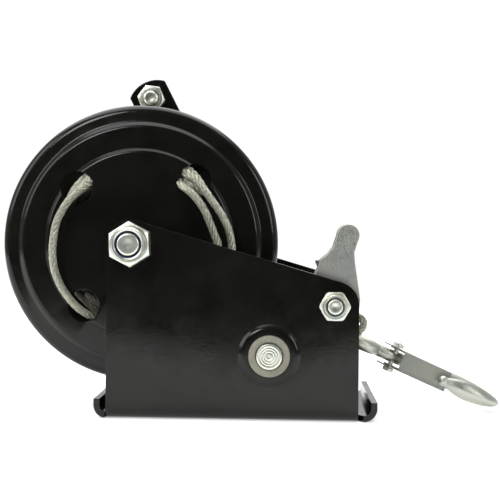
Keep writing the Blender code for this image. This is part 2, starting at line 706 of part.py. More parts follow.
def make_cable_end():
    """The cable from the drum to its ferrule, and the slack eye that holds the hook's ring."""
    start = DRUM_Z - TAIL_DROP
    tail = [(DRUM_X, 0.0085, start), (-0.0380, 0.0083, start - 0.0002),
            (-0.0200, 0.0078, start - 0.0004), (-0.0030, 0.0060, start - 0.0007),
            (0.0120, 0.0035, start - 0.0010), (0.0200, 0.0008, start - 0.0024),
            (0.0262, 0.0, EYE_Z + 0.0004)]
    cable("cable_tail", smooth_path(tail, 0.0045))
    bm = bmesh.new()
    low, high = 0.0273, EYE_X - 0.0137
    outline = [(low, EYE_Z - 0.0040), (high, EYE_Z - 0.0044),
               (high, EYE_Z + 0.0044), (low, EYE_Z + 0.0048)]
    prism(bm, [outline], -0.0026, 0.0026)
    add_object("ferrule", bm, steel())
    legs = 0.00212
    loop = [(EYE_X - 0.0130, EYE_Z - legs), (EYE_X - 0.0085, EYE_Z - 0.0038),
            (EYE_X - 0.0035, EYE_Z - 0.0057), (EYE_X + 0.0012, EYE_Z - 0.0058),
            (EYE_X + 0.0056, EYE_Z - 0.0034)]
    loop += arc((EYE_X + EYE_CROWN[0], EYE_Z + EYE_CROWN[1]), EYE_CROWN_RADIUS, -50, 105, 8)
    loop += [(EYE_X + 0.0030, EYE_Z + 0.0078), (EYE_X - 0.0030, EYE_Z + 0.0060),
             (EYE_X - 0.0085, EYE_Z + 0.0038), (EYE_X - 0.0130, EYE_Z + legs)]
    cable("cable_eye", smooth_path([(x, 0, z) for x, z in loop], 0.0030))


def hook_sections():
    """(along, across, half thickness, half width) down the hook's body to its bill tip."""
    return [(0.0088, 0.0, 0.0030, 0.0030), (0.0145, -0.0004, 0.0036, 0.0031),
            (0.0205, -0.0018, 0.0036, 0.0032), (0.0290, -0.0056, 0.0032, 0.0034),
            (0.0385, -0.0080, 0.0033, 0.0040), (0.0490, -0.0090, 0.0034, 0.0044),
            (0.0580, -0.0090, 0.0036, 0.0046), (0.0660, -0.0078, 0.0038, 0.0042),
            (0.0720, -0.0040, 0.0040, 0.0034), (0.0748, 0.0012, 0.0042, 0.0028),
            (0.0724, 0.0068, 0.0040, 0.0034), (0.0668, 0.0106, 0.0036, 0.0043),
            (0.0593, 0.0124, 0.0031, 0.0048), (0.0533, 0.0125, 0.0028, 0.0040),
            (0.0495, 0.0122, 0.0022, 0.0028), (0.0470, 0.0118, 0.0020, 0.0021)]


def make_hook(parent):
    sections = hook_sections()
    bm = bmesh.new()
    rings = []
    for i, (along, across, thick, wide) in enumerate(sections):
        before, after = sections[max(i - 1, 0)], sections[min(i + 1, len(sections) - 1)]
        run = Vector((after[0] - before[0], after[1] - before[1])).normalized()
        ring = []
        for k in range(12):
            a = 2 * pi * k / 12
            side, up = thick * cos(a), wide * sin(a)
            point = hook_point(along - run.y * side, across + run.x * side, up)
            ring.append(bm.verts.new(point))
        rings.append(ring)
    for a, b in zip(rings, rings[1:]):
        for k in range(12):
            bm.faces.new((a[k - 1], a[k], b[k], b[k - 1]))
    bm.faces.new(rings[0])
    bm.faces.new(rings[-1])
    body = add_object("hook", bm, zinc(), parent)
    ring = bmesh.new()
    frame = Matrix((HOOK_ALONG, HOOK_ACROSS, HOOK_UP)).transposed().to_4x4()
    add_torus(ring, HOOK_RING, HOOK_WIRE, 36, 12)
    bmesh.ops.transform(ring, matrix=Matrix.Translation(HOOK_EYE) @ frame, verts=ring.verts)
    boolean(body, add_object("hook_ring", ring, zinc(), parent), "UNION")
    bore = pin_bore()
    boolean(body, add_object("hook_bore", bore, zinc(), parent))


def add_torus(bm, major, minor, around, about):
    rows = []
    for i in range(around):
        a = 2 * pi * i / around
        row = []
        for k in range(about):
            b = 2 * pi * k / about
            reach = major + minor * cos(b)
            row.append(bm.verts.new((reach * cos(a), reach * sin(a), minor * sin(b))))
        rows.append(row)
    for i in range(around):
        for k in range(about):
            bm.faces.new((rows[i - 1][k - 1], rows[i][k - 1], rows[i][k], rows[i - 1][k]))


def rod_along_up(radius, low, high):
    """A rod on the latch pin's axis, which is square to the hook's plane."""
    bm = bmesh.new()
    ends = []
    for up in (low, high):
        ends.append([bm.verts.new(hook_point(LATCH_PIN_ALONG + radius * cos(a), radius * sin(a), up))
                     for a in (2 * pi * k / 16 for k in range(16))])
    for k in range(16):
        bm.faces.new((ends[0][k - 1], ends[0][k], ends[1][k], ends[1][k - 1]))
    bm.faces.new(ends[0])
    bm.faces.new(ends[1])
    return bm


def pin_bore():
    return rod_along_up(LATCH_BORE, -0.012, 0.012)


def block_along_up(outline, low, high):
    """A block with an (along, across) outline, from low to high square to the hook's plane."""
    bm = bmesh.new()
    ends = [[bm.verts.new(hook_point(along, across, up)) for along, across in outline]
            for up in (low, high)]
    count = len(outline)
    for k in range(count):
        bm.faces.new((ends[0][k - 1], ends[0][k], ends[1][k], ends[1][k - 1]))
    bm.faces.new(ends[0])
    bm.faces.new(ends[1])
    return bm


def make_latch(parent, hook_parent):
    """The latch: a channel over the hook's throat, hinged on a pin through the shank."""
    pin = rod_along_up(LATCH_PIN_RADIUS, -0.0080, 0.0080)
    add_object("latch_pin", pin, zinc(), hook_parent)
    for name, side in (("latch_spring_upper", 1), ("latch_spring_lower", -1)):
        low, high = sorted((side * 0.0054, side * 0.0076))
        coil = rod_along_up(0.0029, low, high)
        obj = add_object(name, coil, zinc(), hook_parent)
        bore = pin_bore()
        boolean(obj, add_object(name + "_bore", bore, zinc(), hook_parent))
    wall, half, plate_start, end = 0.0009, 0.0052, 0.0243, 0.0499
    ear = arc((LATCH_PIN_ALONG, 0), 0.0034, 75, 285, 10)
    side = ear + [(0.0262, -0.0012), (0.0340, 0.0024), (end, 0.0048), (end, 0.0086),
                  (plate_start, 0.0080)]
    body = block_along_up(side, -half, half)
    inside = [(0.010, -0.02), (0.060, -0.02), (0.060, 0.0089 - wall), (plate_start, 0.0080 - wall),
              (plate_start, 0.02), (0.010, 0.02)]
    obj = add_object("latch", body, zinc(), parent, sharp=25)
    cutter = block_along_up(inside, wall - half, half - wall)
    boolean(obj, add_object("latch_inside", cutter, zinc(), parent))
    bore = pin_bore()
    boolean(obj, add_object("latch_bore", bore, zinc(), parent))


def main():
    clear_scene()
    make_frame()
    make_frame_fasteners()
    drum = joint_empty("drum_axis", (DRUM_X, 0, DRUM_Z))
    make_disc(drum)
    make_gear(drum)
    make_drum_inside(drum)
    make_lacing(drum)
    make_anchor(drum)
    crank = joint_empty("crank_axis", (PINION_X, 0, PINION_Z))
    make_pinion_shaft(crank)
    make_ratchet(crank)
    grip = make_arm(crank)
    spinner = joint_empty("grip_axis", (grip[0], 0, grip[1]), crank)
    make_crank(crank, spinner, grip)
    pawl = joint_empty("pawl_axis", (PAWL_X, 0, PAWL_Z))
    make_pawl(pawl)
    make_cable_end()
    hook = joint_empty("hook_axis", (EYE_X, 0, EYE_Z))
    make_hook(hook)
    latch = joint_empty("latch_axis", hook_point(LATCH_PIN_ALONG, 0), hook)
    make_latch(latch, hook)


main()
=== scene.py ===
import json
from math import acos, asin, atan2, cos, hypot, pi, radians, sin, sqrt

import bmesh
import bpy
from mathutils import Matrix, Vector


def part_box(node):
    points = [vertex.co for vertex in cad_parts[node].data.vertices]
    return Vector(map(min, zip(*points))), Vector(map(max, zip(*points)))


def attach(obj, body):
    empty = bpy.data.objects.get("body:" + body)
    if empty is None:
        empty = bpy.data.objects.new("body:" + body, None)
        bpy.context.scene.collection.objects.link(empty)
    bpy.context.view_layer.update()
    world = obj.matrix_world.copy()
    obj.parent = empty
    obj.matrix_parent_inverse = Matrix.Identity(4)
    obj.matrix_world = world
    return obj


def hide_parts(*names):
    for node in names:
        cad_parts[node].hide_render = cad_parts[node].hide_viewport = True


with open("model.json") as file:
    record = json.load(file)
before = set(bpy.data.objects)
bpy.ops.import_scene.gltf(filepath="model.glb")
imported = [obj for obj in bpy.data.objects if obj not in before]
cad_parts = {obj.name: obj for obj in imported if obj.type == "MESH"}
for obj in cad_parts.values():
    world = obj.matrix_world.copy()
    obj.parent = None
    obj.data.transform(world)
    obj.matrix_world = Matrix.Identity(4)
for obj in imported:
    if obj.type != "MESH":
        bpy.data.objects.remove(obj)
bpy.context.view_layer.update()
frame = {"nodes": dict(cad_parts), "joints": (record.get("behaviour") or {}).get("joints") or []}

# A boat trailer winch. Units are metres. +X points to the hook, +Y to the crank, +Z up.
JOINTS = {joint["name"]: joint for joint in frame["joints"]}
DRUM = Vector(JOINTS["drum_spin"]["pos_m"])
PINION = Vector(JOINTS["crank_spin"]["pos_m"])
GRIP = Vector(JOINTS["grip_spin"]["pos_m"])
PAWL = Vector(JOINTS["pawl_tilt"]["pos_m"])
EYE = Vector(JOINTS["hook_swing"]["pos_m"])
LATCH = Vector(JOINTS["latch_swing"]["pos_m"])
HOOK_UP = Vector(JOINTS["latch_swing"]["axis"]).normalized()
HOOK_ACROSS = Vector((0, -1, 0))
HOOK_ALONG = HOOK_UP.cross(HOOK_ACROSS)
HOOK_RING, HOOK_WIRE = 0.0095, 0.0032
HOOK_EYE = EYE + HOOK_RING * HOOK_ALONG
PIN_ALONG = (LATCH - HOOK_EYE).dot(HOOK_ALONG)
GAP = 0.0003


# Objects and shapes

def axis_point(place):
    return place.x, place.z


def add_piece(name, bm, mat, body, *nodes, sharp=35, bevel=None):
    """Make a piece of row-frame geometry that rides on a body and stands for CAD nodes."""
    bmesh.ops.recalc_face_normals(bm, faces=bm.faces)
    mesh = bpy.data.meshes.new(name)
    bm.to_mesh(mesh)
    bm.free()
    mesh.materials.append(mat)
    mesh.shade_smooth()
    mesh.set_sharp_from_angle(angle=radians(sharp))
    obj = bpy.data.objects.new(name, mesh)
    bpy.context.scene.collection.objects.link(obj)
    if bevel:
        add_bevel(obj, bevel)
    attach(obj, body)
    if nodes:
        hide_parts(*nodes)
    return obj


def add_bevel(obj, width, segments=3, angle=40):
    edge = obj.modifiers.new("edge", "BEVEL")
    edge.width = width
    edge.segments = segments
    edge.limit_method = "ANGLE"
    edge.angle_limit = radians(angle)
    edge.harden_normals = True


def polar(centre, radius, angle):
    return centre[0] + radius * cos(angle), centre[1] + radius * sin(angle)


def arc(centre, radius, start, end, steps):
    span = radians(end - start)
    return [polar(centre, radius, radians(start) + span * i / steps) for i in range(steps + 1)]


def circle(centre, radius, count):
    return [polar(centre, radius, 2 * pi * i / count) for i in range(count)]


def fill_flat(bm, outlines, y=0.0, place=None):
    """A flat face with holes. place turns an outline's point into a corner."""
    place = place or (lambda x, z: (x, y, z))
    edges = []
    for outline in outlines:
        verts = [bm.verts.new(place(*point)) for point in outline]
        edges += [bm.edges.new((verts[i - 1], verts[i])) for i in range(len(verts))]
    bmesh.ops.triangle_fill(bm, use_beauty=True, edges=edges)


def thicken(bm, step):
    """Sweep every face of a flat shape by a step."""
    sides = bmesh.ops.extrude_face_region(bm, geom=bm.faces[:])
    moved = [g for g in sides["geom"] if isinstance(g, bmesh.types.BMVert)]
    bmesh.ops.translate(bm, verts=moved, vec=step)


def append(bm, part, matrix=None):
    if matrix:
        bmesh.ops.transform(part, matrix=matrix, verts=part.verts)
    mesh = bpy.data.meshes.new("part")
    part.to_mesh(mesh)
    part.free()
    bm.from_mesh(mesh)
    bpy.data.meshes.remove(mesh)


def prism(bm, outlines, low, high):
    part = bmesh.new()
    fill_flat(part, outlines, low)
    thicken(part, (0, high - low, 0))
    append(bm, part)


def hexagon(half, angle, turn):
    return half / cos((angle - turn + pi / 6) % (pi / 3) - pi / 6)


def turned(bm, sections, centre, segments=96, turn=0.0):
    """A solid of revolution about a Y axis. A third value in a section makes it a hexagon."""
    rings = []
    for radius, y, *corner in sections:
        ring = []
        for i in range(segments):
            angle = 2 * pi * i / segments + turn
            reach = min(hexagon(radius, angle, turn), corner[0]) if corner else radius
            x, z = polar(centre, reach, angle)
            ring.append(bm.verts.new((x, y, z)))
        rings.append(ring)
    skin(bm, rings, True)
    bmesh.ops.remove_doubles(bm, verts=bm.verts, dist=1e-7)
    bmesh.ops.dissolve_degenerate(bm, edges=bm.edges, dist=1e-7)


def skin(bm, rows, closed_rows=False, closed_across=True):
    """Quads between rows of vertices."""
    pairs = list(zip(rows, rows[1:]))
    if closed_rows:
        pairs.append((rows[-1], rows[0]))
    for a, b in pairs:
        for i in range(0 if closed_across else 1, len(a)):
            bm.faces.new((a[i - 1], a[i], b[i], b[i - 1]))


def grid(bm, rows, closed_across=False):
    verts = [[bm.verts.new(p) for p in row] for row in rows]
    skin(bm, verts, False, closed_across)
    return verts


def fillet(points, radii, steps=5):
    """A run of points with its inner corners rounded. radii holds one radius per corner."""
    out = [Vector(points[0])]
    for before, corner, after, radius in zip(points, points[1:], points[2:], radii):
        before, corner, after = Vector(before), Vector(corner), Vector(after)
        a, b = (before - corner).normalized(), (after - corner).normalized()
        half = acos(max(-1.0, min(1.0, a.dot(b)))) / 2
        reach = min(radius * cos(half) / sin(half), (before - corner).length * 0.49,
                    (after - corner).length * 0.49)
        start, end = corner + a * reach, corner + b * reach
        for i in range(steps + 1):
            t = i / steps
            out.append((1 - t) ** 2 * start + 2 * t * (1 - t) * corner + t ** 2 * end)
    out.append(Vector(points[-1]))
    return out


def offset_run(points, distance):
    """The same open run of 2-D points, moved sideways."""
    out = []
    for i, point in enumerate(points):
        run = points[min(i + 1, len(points) - 1)] - points[max(i - 1, 0)]
        side = Vector((run.y, -run.x)).normalized()
        out.append(point + side * distance)
    return out


def even_path(points, count):
    """Evenly spaced points along a run."""
    points = [Vector(p) for p in points]
    reach = [0.0]
    for a, b in zip(points, points[1:]):
        reach.append(reach[-1] + (b - a).length)
    out, k = [], 0
    for i in range(count):
        want = reach[-1] * i / (count - 1)
        while k < len(points) - 2 and reach[k + 1] < want:
            k += 1
        step = (want - reach[k]) / max(reach[k + 1] - reach[k], 1e-12)
        out.append(points[k].lerp(points[k + 1], min(max(step, 0.0), 1.0)))
    return out


def path_length(points):
    return sum((Vector(b) - Vector(a)).length for a, b in zip(points, points[1:]))


def smooth_path(points, spacing):
    """Evenly spaced points along a Catmull-Rom curve through the points given."""
    points = [Vector(p) for p in points]
    knots = [2 * points[0] - points[1], *points, 2 * points[-1] - points[-2]]
    fine = []
    for i in range(1, len(knots) - 2):
        before, start, end, after = knots[i - 1:i + 3]
        for j in range(16):
            t = j / 16
            fine.append(0.5 * (2 * start + (end - before) * t
                               + (2 * before - 5 * start + 4 * end - after) * t ** 2
                               + (3 * start - 3 * end + after - before) * t ** 3))
    fine.append(points[-1])
    return even_path(fine, max(3, round(path_length(fine) / spacing) + 1))


def frames_along(points):
    """A pair of directions square to the path at each point, carried along without twist."""
    run = (points[1] - points[0]).normalized()
    side = run.orthogonal().normalized()
    frames = []
    for i in range(len(points)):
        ahead = (points[min(i + 1, len(points) - 1)] - points[max(i - 1, 0)]).normalized()
        side = (side - ahead * side.dot(ahead)).normalized()
        frames.append((side, ahead.cross(side)))
    return frames


def lathe(bm, sections, place, axis, segments=48):
    """A solid of revolution about any axis. Its sections are (radius, distance along)."""
    part = bmesh.new()
    turned(part, sections, (0, 0), segments)
    side = axis.orthogonal().normalized()
    frame_matrix = Matrix((side, axis, side.cross(axis))).transposed().to_4x4()
    append(bm, part, Matrix.Translation(place) @ frame_matrix)


def add_tube(bm, points, radius, around=10):
    rows = []
    for point, (side, up) in zip(points, frames_along(points)):
        rows.append([bm.verts.new(point + radius * (cos(a) * side + sin(a) * up))
                     for a in (2 * pi * k / around for k in range(around))])
    skin(bm, rows)
    bm.faces.new(rows[0])
    bm.faces.new(rows[-1])


def edged_copy(name, mat, body, node, width, sharp=35):
    """A CAD node's shape with its edges rounded."""
    source = frame["nodes"][node]
    bm = bmesh.new()
    bm.from_mesh(source.data)
    bmesh.ops.transform(bm, matrix=source.matrix_world, verts=bm.verts)
    bmesh.ops.remove_doubles(bm, verts=bm.verts, dist=1e-6)
    return add_piece(name, bm, mat, body, node, sharp=sharp, bevel=width)


def soften(obj, voxel, steps):
    """Melt joined shapes into one skin with rounded edges."""
    melt = obj.modifiers.new("melt", "REMESH")
    melt.mode = "VOXEL"
    melt.voxel_size = voxel
    melt.use_smooth_shade = True
    ease = obj.modifiers.new("ease", "SMOOTH")
    ease.iterations = steps
    ease.factor = 0.5
    apply_modifiers(obj)


# Materials


class Graph:
    """A Principled material and short calls that add nodes to it."""

    def __init__(self, name, slot, colour, roughness, metallic=0.0, **values):
        self.mat = bpy.data.materials.new(name)
        self.mat.use_nodes = True
        self.tree = self.mat.node_tree
        self.shader = self.tree.nodes["Principled BSDF"]
        self.shader.inputs["Base Color"].default_value = (*colour, 1)
        self.shader.inputs["Roughness"].default_value = roughness
        self.shader.inputs["Metallic"].default_value = metallic
        for key, value in values.items():
            self.shader.inputs[key.replace("_", " ")].default_value = value
        self.place = self.tree.nodes.new("ShaderNodeTexCoord").outputs["Object"]

    def feed(self, socket, value):
        """Link another node's output to a socket, or set the socket's own value."""
        if isinstance(value, bpy.types.NodeSocket):
            self.tree.links.new(value, socket)
        else:
            socket.default_value = value

    def node(self, kind, **inputs):
        made = self.tree.nodes.new(kind)
        for key, value in inputs.items():
            self.feed(made.inputs[key.replace("_", " ")], value)
        return made

    def noise(self, scale, detail=3.0, roughness=0.5, place=None):
        made = self.node("ShaderNodeTexNoise", Scale=scale, Detail=detail, Roughness=roughness,
                         Vector=place or self.place)
        return made.outputs["Fac"]

    def stretched(self, x, y, z):
        made = self.node("ShaderNodeMapping", Vector=self.place)
        made.inputs["Scale"].default_value = (x, y, z)
        return made.outputs["Vector"]

    def ramp(self, value, *stops):
        """stops are (position, grey or colour)."""
        made = self.node("ShaderNodeValToRGB", Fac=value)
        elements = made.color_ramp.elements
        while len(elements) < len(stops):
            elements.new(0.5)
        for element, (position, colour) in zip(elements, stops):
            element.position = position
            grey = isinstance(colour, (int, float))
            element.color = (colour, colour, colour, 1) if grey else (*colour, 1)
        return made.outputs["Color"]

    def mix(self, share, a, b):
        made = self.tree.nodes.new("ShaderNodeMix")
        made.data_type = "RGBA"
        for socket, value in ((made.inputs[0], share), (made.inputs[6], a), (made.inputs[7], b)):
            self.feed(socket, (*value, 1) if isinstance(value, tuple) else value)
        return made.outputs[2]

    def maths(self, operation, a, b):
        made = self.tree.nodes.new("ShaderNodeMath")
        made.operation = operation
        for socket, value in zip(made.inputs, (a, b)):
            self.feed(socket, value)
        return made.outputs[0]

    def bump(self, height, strength, distance):
        values = {"Strength": strength, "Distance": distance, "Height": height}
        last = self.shader.inputs["Normal"]
        made = self.node("ShaderNodeBump", **values)
        if last.is_linked:
            self.tree.links.new(last.links[0].from_socket, made.inputs["Normal"])
        self.tree.links.new(made.outputs["Normal"], last)

    def drive(self, socket, value):
        self.tree.links.new(value, self.shader.inputs[socket])


def make_black_paint():
    """Gloss paint with a slight orange peel and patches of thinner, rougher paint."""
    g = Graph("black_gloss", "black_paint", (0.006, 0.006, 0.0052), 0.16,
              Specular_IOR_Level=0.30)
    dust = g.noise(55, 6, 0.65)
    g.drive("Base Color", g.ramp(dust, (0.35, (0.0036, 0.0038, 0.0030)),
                                 (0.75, (0.0082, 0.0084, 0.0066))))
    g.drive("Roughness", g.ramp(g.noise(140, 4, 0.6), (0.3, 0.10), (0.75, 0.22)))
    g.bump(g.noise(26, 2, 0.4), 0.14, 0.0006)
    g.bump(g.noise(700, 2, 0.5), 0.06, 0.0003)
    return g.mat


def make_zinc(name, level, rough):
    """Bright zinc with faint warm and cool patches."""
    tint = tuple(level * c for c in (1.0, 1.02, 0.87))
    cool = tuple(level * c for c in (0.90, 0.96, 0.88))
    g = Graph(name, "zinc_plate", tint, 0.3, 1.0)
    g.drive("Base Color", g.mix(g.ramp(g.noise(95, 3, 0.55), (0.38, 0.0), (0.66, 1.0)),
                                tint, cool))
    g.drive("Roughness", g.ramp(g.noise(230, 5, 0.7), (0.3, rough[0]), (0.75, rough[1])))
    g.bump(g.noise(420, 3, 0.6), 0.16, 0.0003)
    return g.mat


def make_pressed_zinc(name, level):
    """Duller zinc on folded sheet, with a fine mottle."""
    warm, cool = (1.0, 1.01, 0.86), (0.86, 0.92, 0.88)
    g = Graph(name, "zinc_plate", (level, level, level), 0.46, 0.8)
    mottle = g.noise(520, 4, 0.7, g.stretched(1.6, 1.0, 0.8))
    cloud = g.noise(70, 3, 0.5)
    g.drive("Base Color", g.mix(g.ramp(cloud, (0.35, 0.0), (0.65, 1.0)),
                                tuple(level * c for c in warm), tuple(level * c for c in cool)))
    g.drive("Roughness", g.ramp(mottle, (0.3, 0.34), (0.75, 0.56)))
    g.bump(mottle, 0.6, 0.0003)
    return g.mat


def make_wire(name, dark, light):
    """Drawn wires that lie along the strands, with painted shade in the grooves between them. The
    mesh's UV runs round and along the rope.
    """
    g = Graph(name, "wire_rope", light, 0.36, 0.9)
    uv = g.tree.nodes.new("ShaderNodeUVMap")
    split = g.node("ShaderNodeSeparateXYZ", Vector=uv.outputs["UV"])
    wires_across, wires_along = 4, 9
    across = g.maths("MULTIPLY", split.outputs["X"], 2 * pi * wires_across)
    slant = g.maths("MULTIPLY", split.outputs["Y"], 2 * pi * wires_along)
    lines = g.maths("SINE", g.maths("ADD", across, slant), 0)
    g.bump(g.maths("MULTIPLY", lines, 0.5), 0.8, 0.0003)
    # Painted shade: the colour is darker where the wire lines' bump is low, in the grooves, with
    # a random mottle on top.
    groove_shade_and_mottle = g.maths("ADD", g.maths("MULTIPLY", lines, 0.22), g.noise(700, 3, 0.6))
    g.drive("Base Color", g.ramp(groove_shade_and_mottle, (0.25, dark), (0.75, light)))
    g.drive("Roughness", g.ramp(groove_shade_and_mottle, (0.3, 0.30), (0.75, 0.46)))
    return g.mat


def make_bush():
    g = Graph("sintered_bush", "bush_bronze", (0.40, 0.375, 0.32), 0.62, 0.25)
    g.drive("Base Color", g.ramp(g.noise(900, 3, 0.7), (0.3, (0.190, 0.185, 0.145)),
                                 (0.7, (0.290, 0.285, 0.225))))
    g.bump(g.noise(1600, 2, 0.5), 0.2, 0.0001)
    return g.mat


def make_nylon(name, dark, light):
    g = Graph(name, "blue_nylon", dark, 0.42)
    g.drive("Base Color", g.ramp(g.noise(500, 2), (0.35, dark), (0.7, light)))
    g.bump(g.noise(1200, 2), 0.1, 0.0001)
    return g.mat


def make_steel():
    g = Graph("gear_steel", "plain_steel", (0.36, 0.355, 0.34), 0.38, 1.0)
    g.drive("Base Color", g.ramp(g.noise(70, 5, 0.65), (0.3, (0.27, 0.262, 0.245)),
                                 (0.7, (0.44, 0.435, 0.42))))
    g.drive("Roughness", g.ramp(g.noise(260, 4, 0.65), (0.3, 0.28), (0.75, 0.5)))
    g.bump(g.noise(700, 3, 0.6), 0.12, 0.0002)
    return g.mat


def make_grip_plastic():
    g = Graph("grip_black", "grip_plastic", (0.014, 0.014, 0.014), 0.42)
    g.drive("Roughness", g.ramp(g.noise(300, 4, 0.6), (0.3, 0.34), (0.75, 0.55)))
    g.drive("Base Color", g.ramp(g.noise(60, 4), (0.3, 0.010), (0.75, 0.022)))
    g.bump(g.noise(1500, 2), 0.15, 0.0001)
    return g.mat


def make_floor_paint():
    """White paper that gives off a little light, so that its shadows stay pale."""
    mat = bpy.data.materials.new("pale_floor")
    mat.use_nodes = True
    shader = mat.node_tree.nodes["Principled BSDF"]
    shader.inputs["Base Color"].default_value = (0.85, 0.85, 0.85, 1)
    shader.inputs["Roughness"].default_value = 0.9
    shader.inputs["Specular IOR Level"].default_value = 0.1
    shader.inputs["Emission Color"].default_value = (1, 1, 1, 1)
    shader.inputs["Emission Strength"].default_value = 0.42
    return mat


BLACK = make_black_paint()
ZINC = make_zinc("zinc", 0.69, (0.28, 0.46))
FORGED = make_zinc("forged_zinc", 0.45, (0.36, 0.56))
PRESSED = make_pressed_zinc("pressed_zinc", 0.37)
LATCH_ZINC = make_pressed_zinc("latch_zinc", 0.29)
WIRE = make_wire("wire", (0.25, 0.25, 0.20), (0.74, 0.73, 0.61))
# The wound rope's dark colour is a guess. The photo shows no wound rope.
# Painted shade: the wound rope is a darker copy of the free rope's wire, standing for the shade
# deep inside the drum.
WOUND = make_wire("wound_wire_painted_shade", (0.07, 0.068, 0.055), (0.24, 0.235, 0.19))
BUSH = make_bush()
NYLON = make_nylon("nylon_blue", (0.020, 0.036, 0.11), (0.036, 0.060, 0.17))
PALE_NYLON = make_nylon("nylon_pale", (0.09, 0.10, 0.12), (0.15, 0.16, 0.18))
STEEL = make_steel()
PLASTIC = make_grip_plastic()


# Camera, floor and light

CAMERA_PLACE = Vector((0.02457, -0.65913, 0.0936))
CAMERA_LENS = 92.0
CAMERA_YAW, CAMERA_PITCH, CAMERA_ROLL = 0.02963, -0.01845, 0.01228


def make_camera():
    data = bpy.data.cameras.new("camera")
    data.lens = CAMERA_LENS
    data.sensor_width = 36
    obj = bpy.data.objects.new("camera", data)
    bpy.context.scene.collection.objects.link(obj)
    turn = (Matrix.Rotation(CAMERA_YAW, 4, "Z") @ Matrix.Rotation(pi / 2 + CAMERA_PITCH, 4, "X")
            @ Matrix.Rotation(CAMERA_ROLL, 4, "Z"))
    obj.matrix_world = Matrix.Translation(CAMERA_PLACE) @ turn
    bpy.context.scene.camera = obj


def add_softbox(name, place, target, size, power):
    data = bpy.data.lights.new(name, "AREA")
    data.shape = "RECTANGLE"
    data.size, data.size_y = size
    data.energy = power
    obj = bpy.data.objects.new(name, data)
    bpy.context.scene.collection.objects.link(obj)
    obj.location = place
    obj.rotation_euler = (Vector(target) - Vector(place)).to_track_quat("-Z", "Y").to_euler()


def make_stage():
    bpy.context.scene.view_settings.view_transform = "Standard"
    bm = bmesh.new()
    left, right, front, back = -0.85, 0.95, -0.36, 1.0
    verts = [bm.verts.new((x, y, -0.0002)) for x, y in
             ((left, front), (right, front), (right, back), (left, back))]
    bm.faces.new(verts)
    mesh = bpy.data.meshes.new("floor")
    bm.to_mesh(mesh)
    bm.free()
    mesh.materials.append(make_floor_paint())
    floor = bpy.data.objects.new("floor", mesh)
    bpy.context.scene.collection.objects.link(floor)
    make_world()
    add_softbox("top_light", (-0.1, 0.35, 1.3), (0, 0.1, 0.0), (1.7, 1.6), 24)
    add_softbox("left_light", (-1.25, -0.55, 0.75), (0, 0, 0.1), (0.8, 0.9), 8)
    add_softbox("right_light", (1.2, -0.9, 0.6), (0.05, 0, 0.06), (0.5, 0.8), 6)
    add_softbox("front_light", (-0.55, -1.05, 0.85), (0, 0, 0.08), (0.45, 0.45), 7)


def make_world():
    """White behind the object for the eye, and a studio that is darker towards the front."""
    world = bpy.data.worlds.new("studio")
    world.use_nodes = True
    bpy.context.scene.world = world
    tree = world.node_tree
    tree.nodes.clear()
    place = tree.nodes.new("ShaderNodeTexCoord")
    split = tree.nodes.new("ShaderNodeSeparateXYZ")
    tree.links.new(place.outputs["Generated"], split.inputs[0])
    shade = tree.nodes.new("ShaderNodeMapRange")
    for key, value in (("From Min", -0.7), ("From Max", 0.8), ("To Min", 0.05), ("To Max", 0.85)):
        shade.inputs[key].default_value = value
    tree.links.new(split.outputs["Y"], shade.inputs["Value"])
    seen = tree.nodes.new("ShaderNodeLightPath")
    mix = tree.nodes.new("ShaderNodeMix")
    tree.links.new(seen.outputs["Is Camera Ray"], mix.inputs[0])
    tree.links.new(shade.outputs[0], mix.inputs[2])
    mix.inputs[3].default_value = 1.05
    back = tree.nodes.new("ShaderNodeBackground")
    back.inputs["Color"].default_value = (1, 1, 1, 1)
    tree.links.new(mix.outputs[0], back.inputs["Strength"])
    out = tree.nodes.new("ShaderNodeOutputWorld")
    tree.links.new(back.outputs[0], out.inputs["Surface"])


# Wire rope

ROPE_RADIUS = 0.002
STRANDS = 6
LAY_LENGTH = 0.020
TAIL_DROP, TAIL_Y = 0.0416, 0.0085  # where the free cable leaves the drum
EYE_CROWN, EYE_CROWN_RADIUS = (0.0081, 0.0049), 0.0038  # the eye's outer bend, from EYE


def rope_section(points_per_strand):
    """(angle, distance) round a rope of six strands, as a share of its radius."""
    middle, strand = 2 / 3, 1 / 3
    widest = radians(29)
    out = []
    for k in range(STRANDS):
        for j in range(points_per_strand):
            a = widest * (2 * j / (points_per_strand - 1) - 1)
            reach = middle * cos(a) + sqrt(max(strand ** 2 - (middle * sin(a)) ** 2, 0))
            out.append((2 * pi * k / STRANDS + a, reach))
    return out


def add_rope(bm, points, detail=5, radius=lambda t: ROPE_RADIUS, start_twist=0.0):
    """A rope of twisted strands along a path. radius is a function of the share gone."""
    section = rope_section(detail)
    uv = bm.loops.layers.uv.verify()
    rows, marks = [], []
    gone, whole = 0.0, path_length(points)
    frames = frames_along(points)
    for i, (point, (side, up)) in enumerate(zip(points, frames)):
        gone += (point - points[i - 1]).length if i else 0.0
        twist = start_twist + 2 * pi * gone / LAY_LENGTH
        size = radius(gone / whole)
        rows.append([bm.verts.new(point + size * reach * (cos(a + twist) * side
                                                          + sin(a + twist) * up))
                     for a, reach in section])
        marks.append(gone)
    count = len(section)
    for i in range(len(rows) - 1):
        for j in range(count):
            k = (j + 1) % count
            face = bm.faces.new((rows[i][j], rows[i][k], rows[i + 1][k], rows[i + 1][j]))
            along = (marks[i], marks[i], marks[i + 1], marks[i + 1])
            for loop, u, v in zip(face.loops, (j, j + 1, j + 1, j), along):
                loop[uv].uv = (u / detail, v / LAY_LENGTH)
    bm.faces.new(rows[0])
    bm.faces.new(rows[-1])


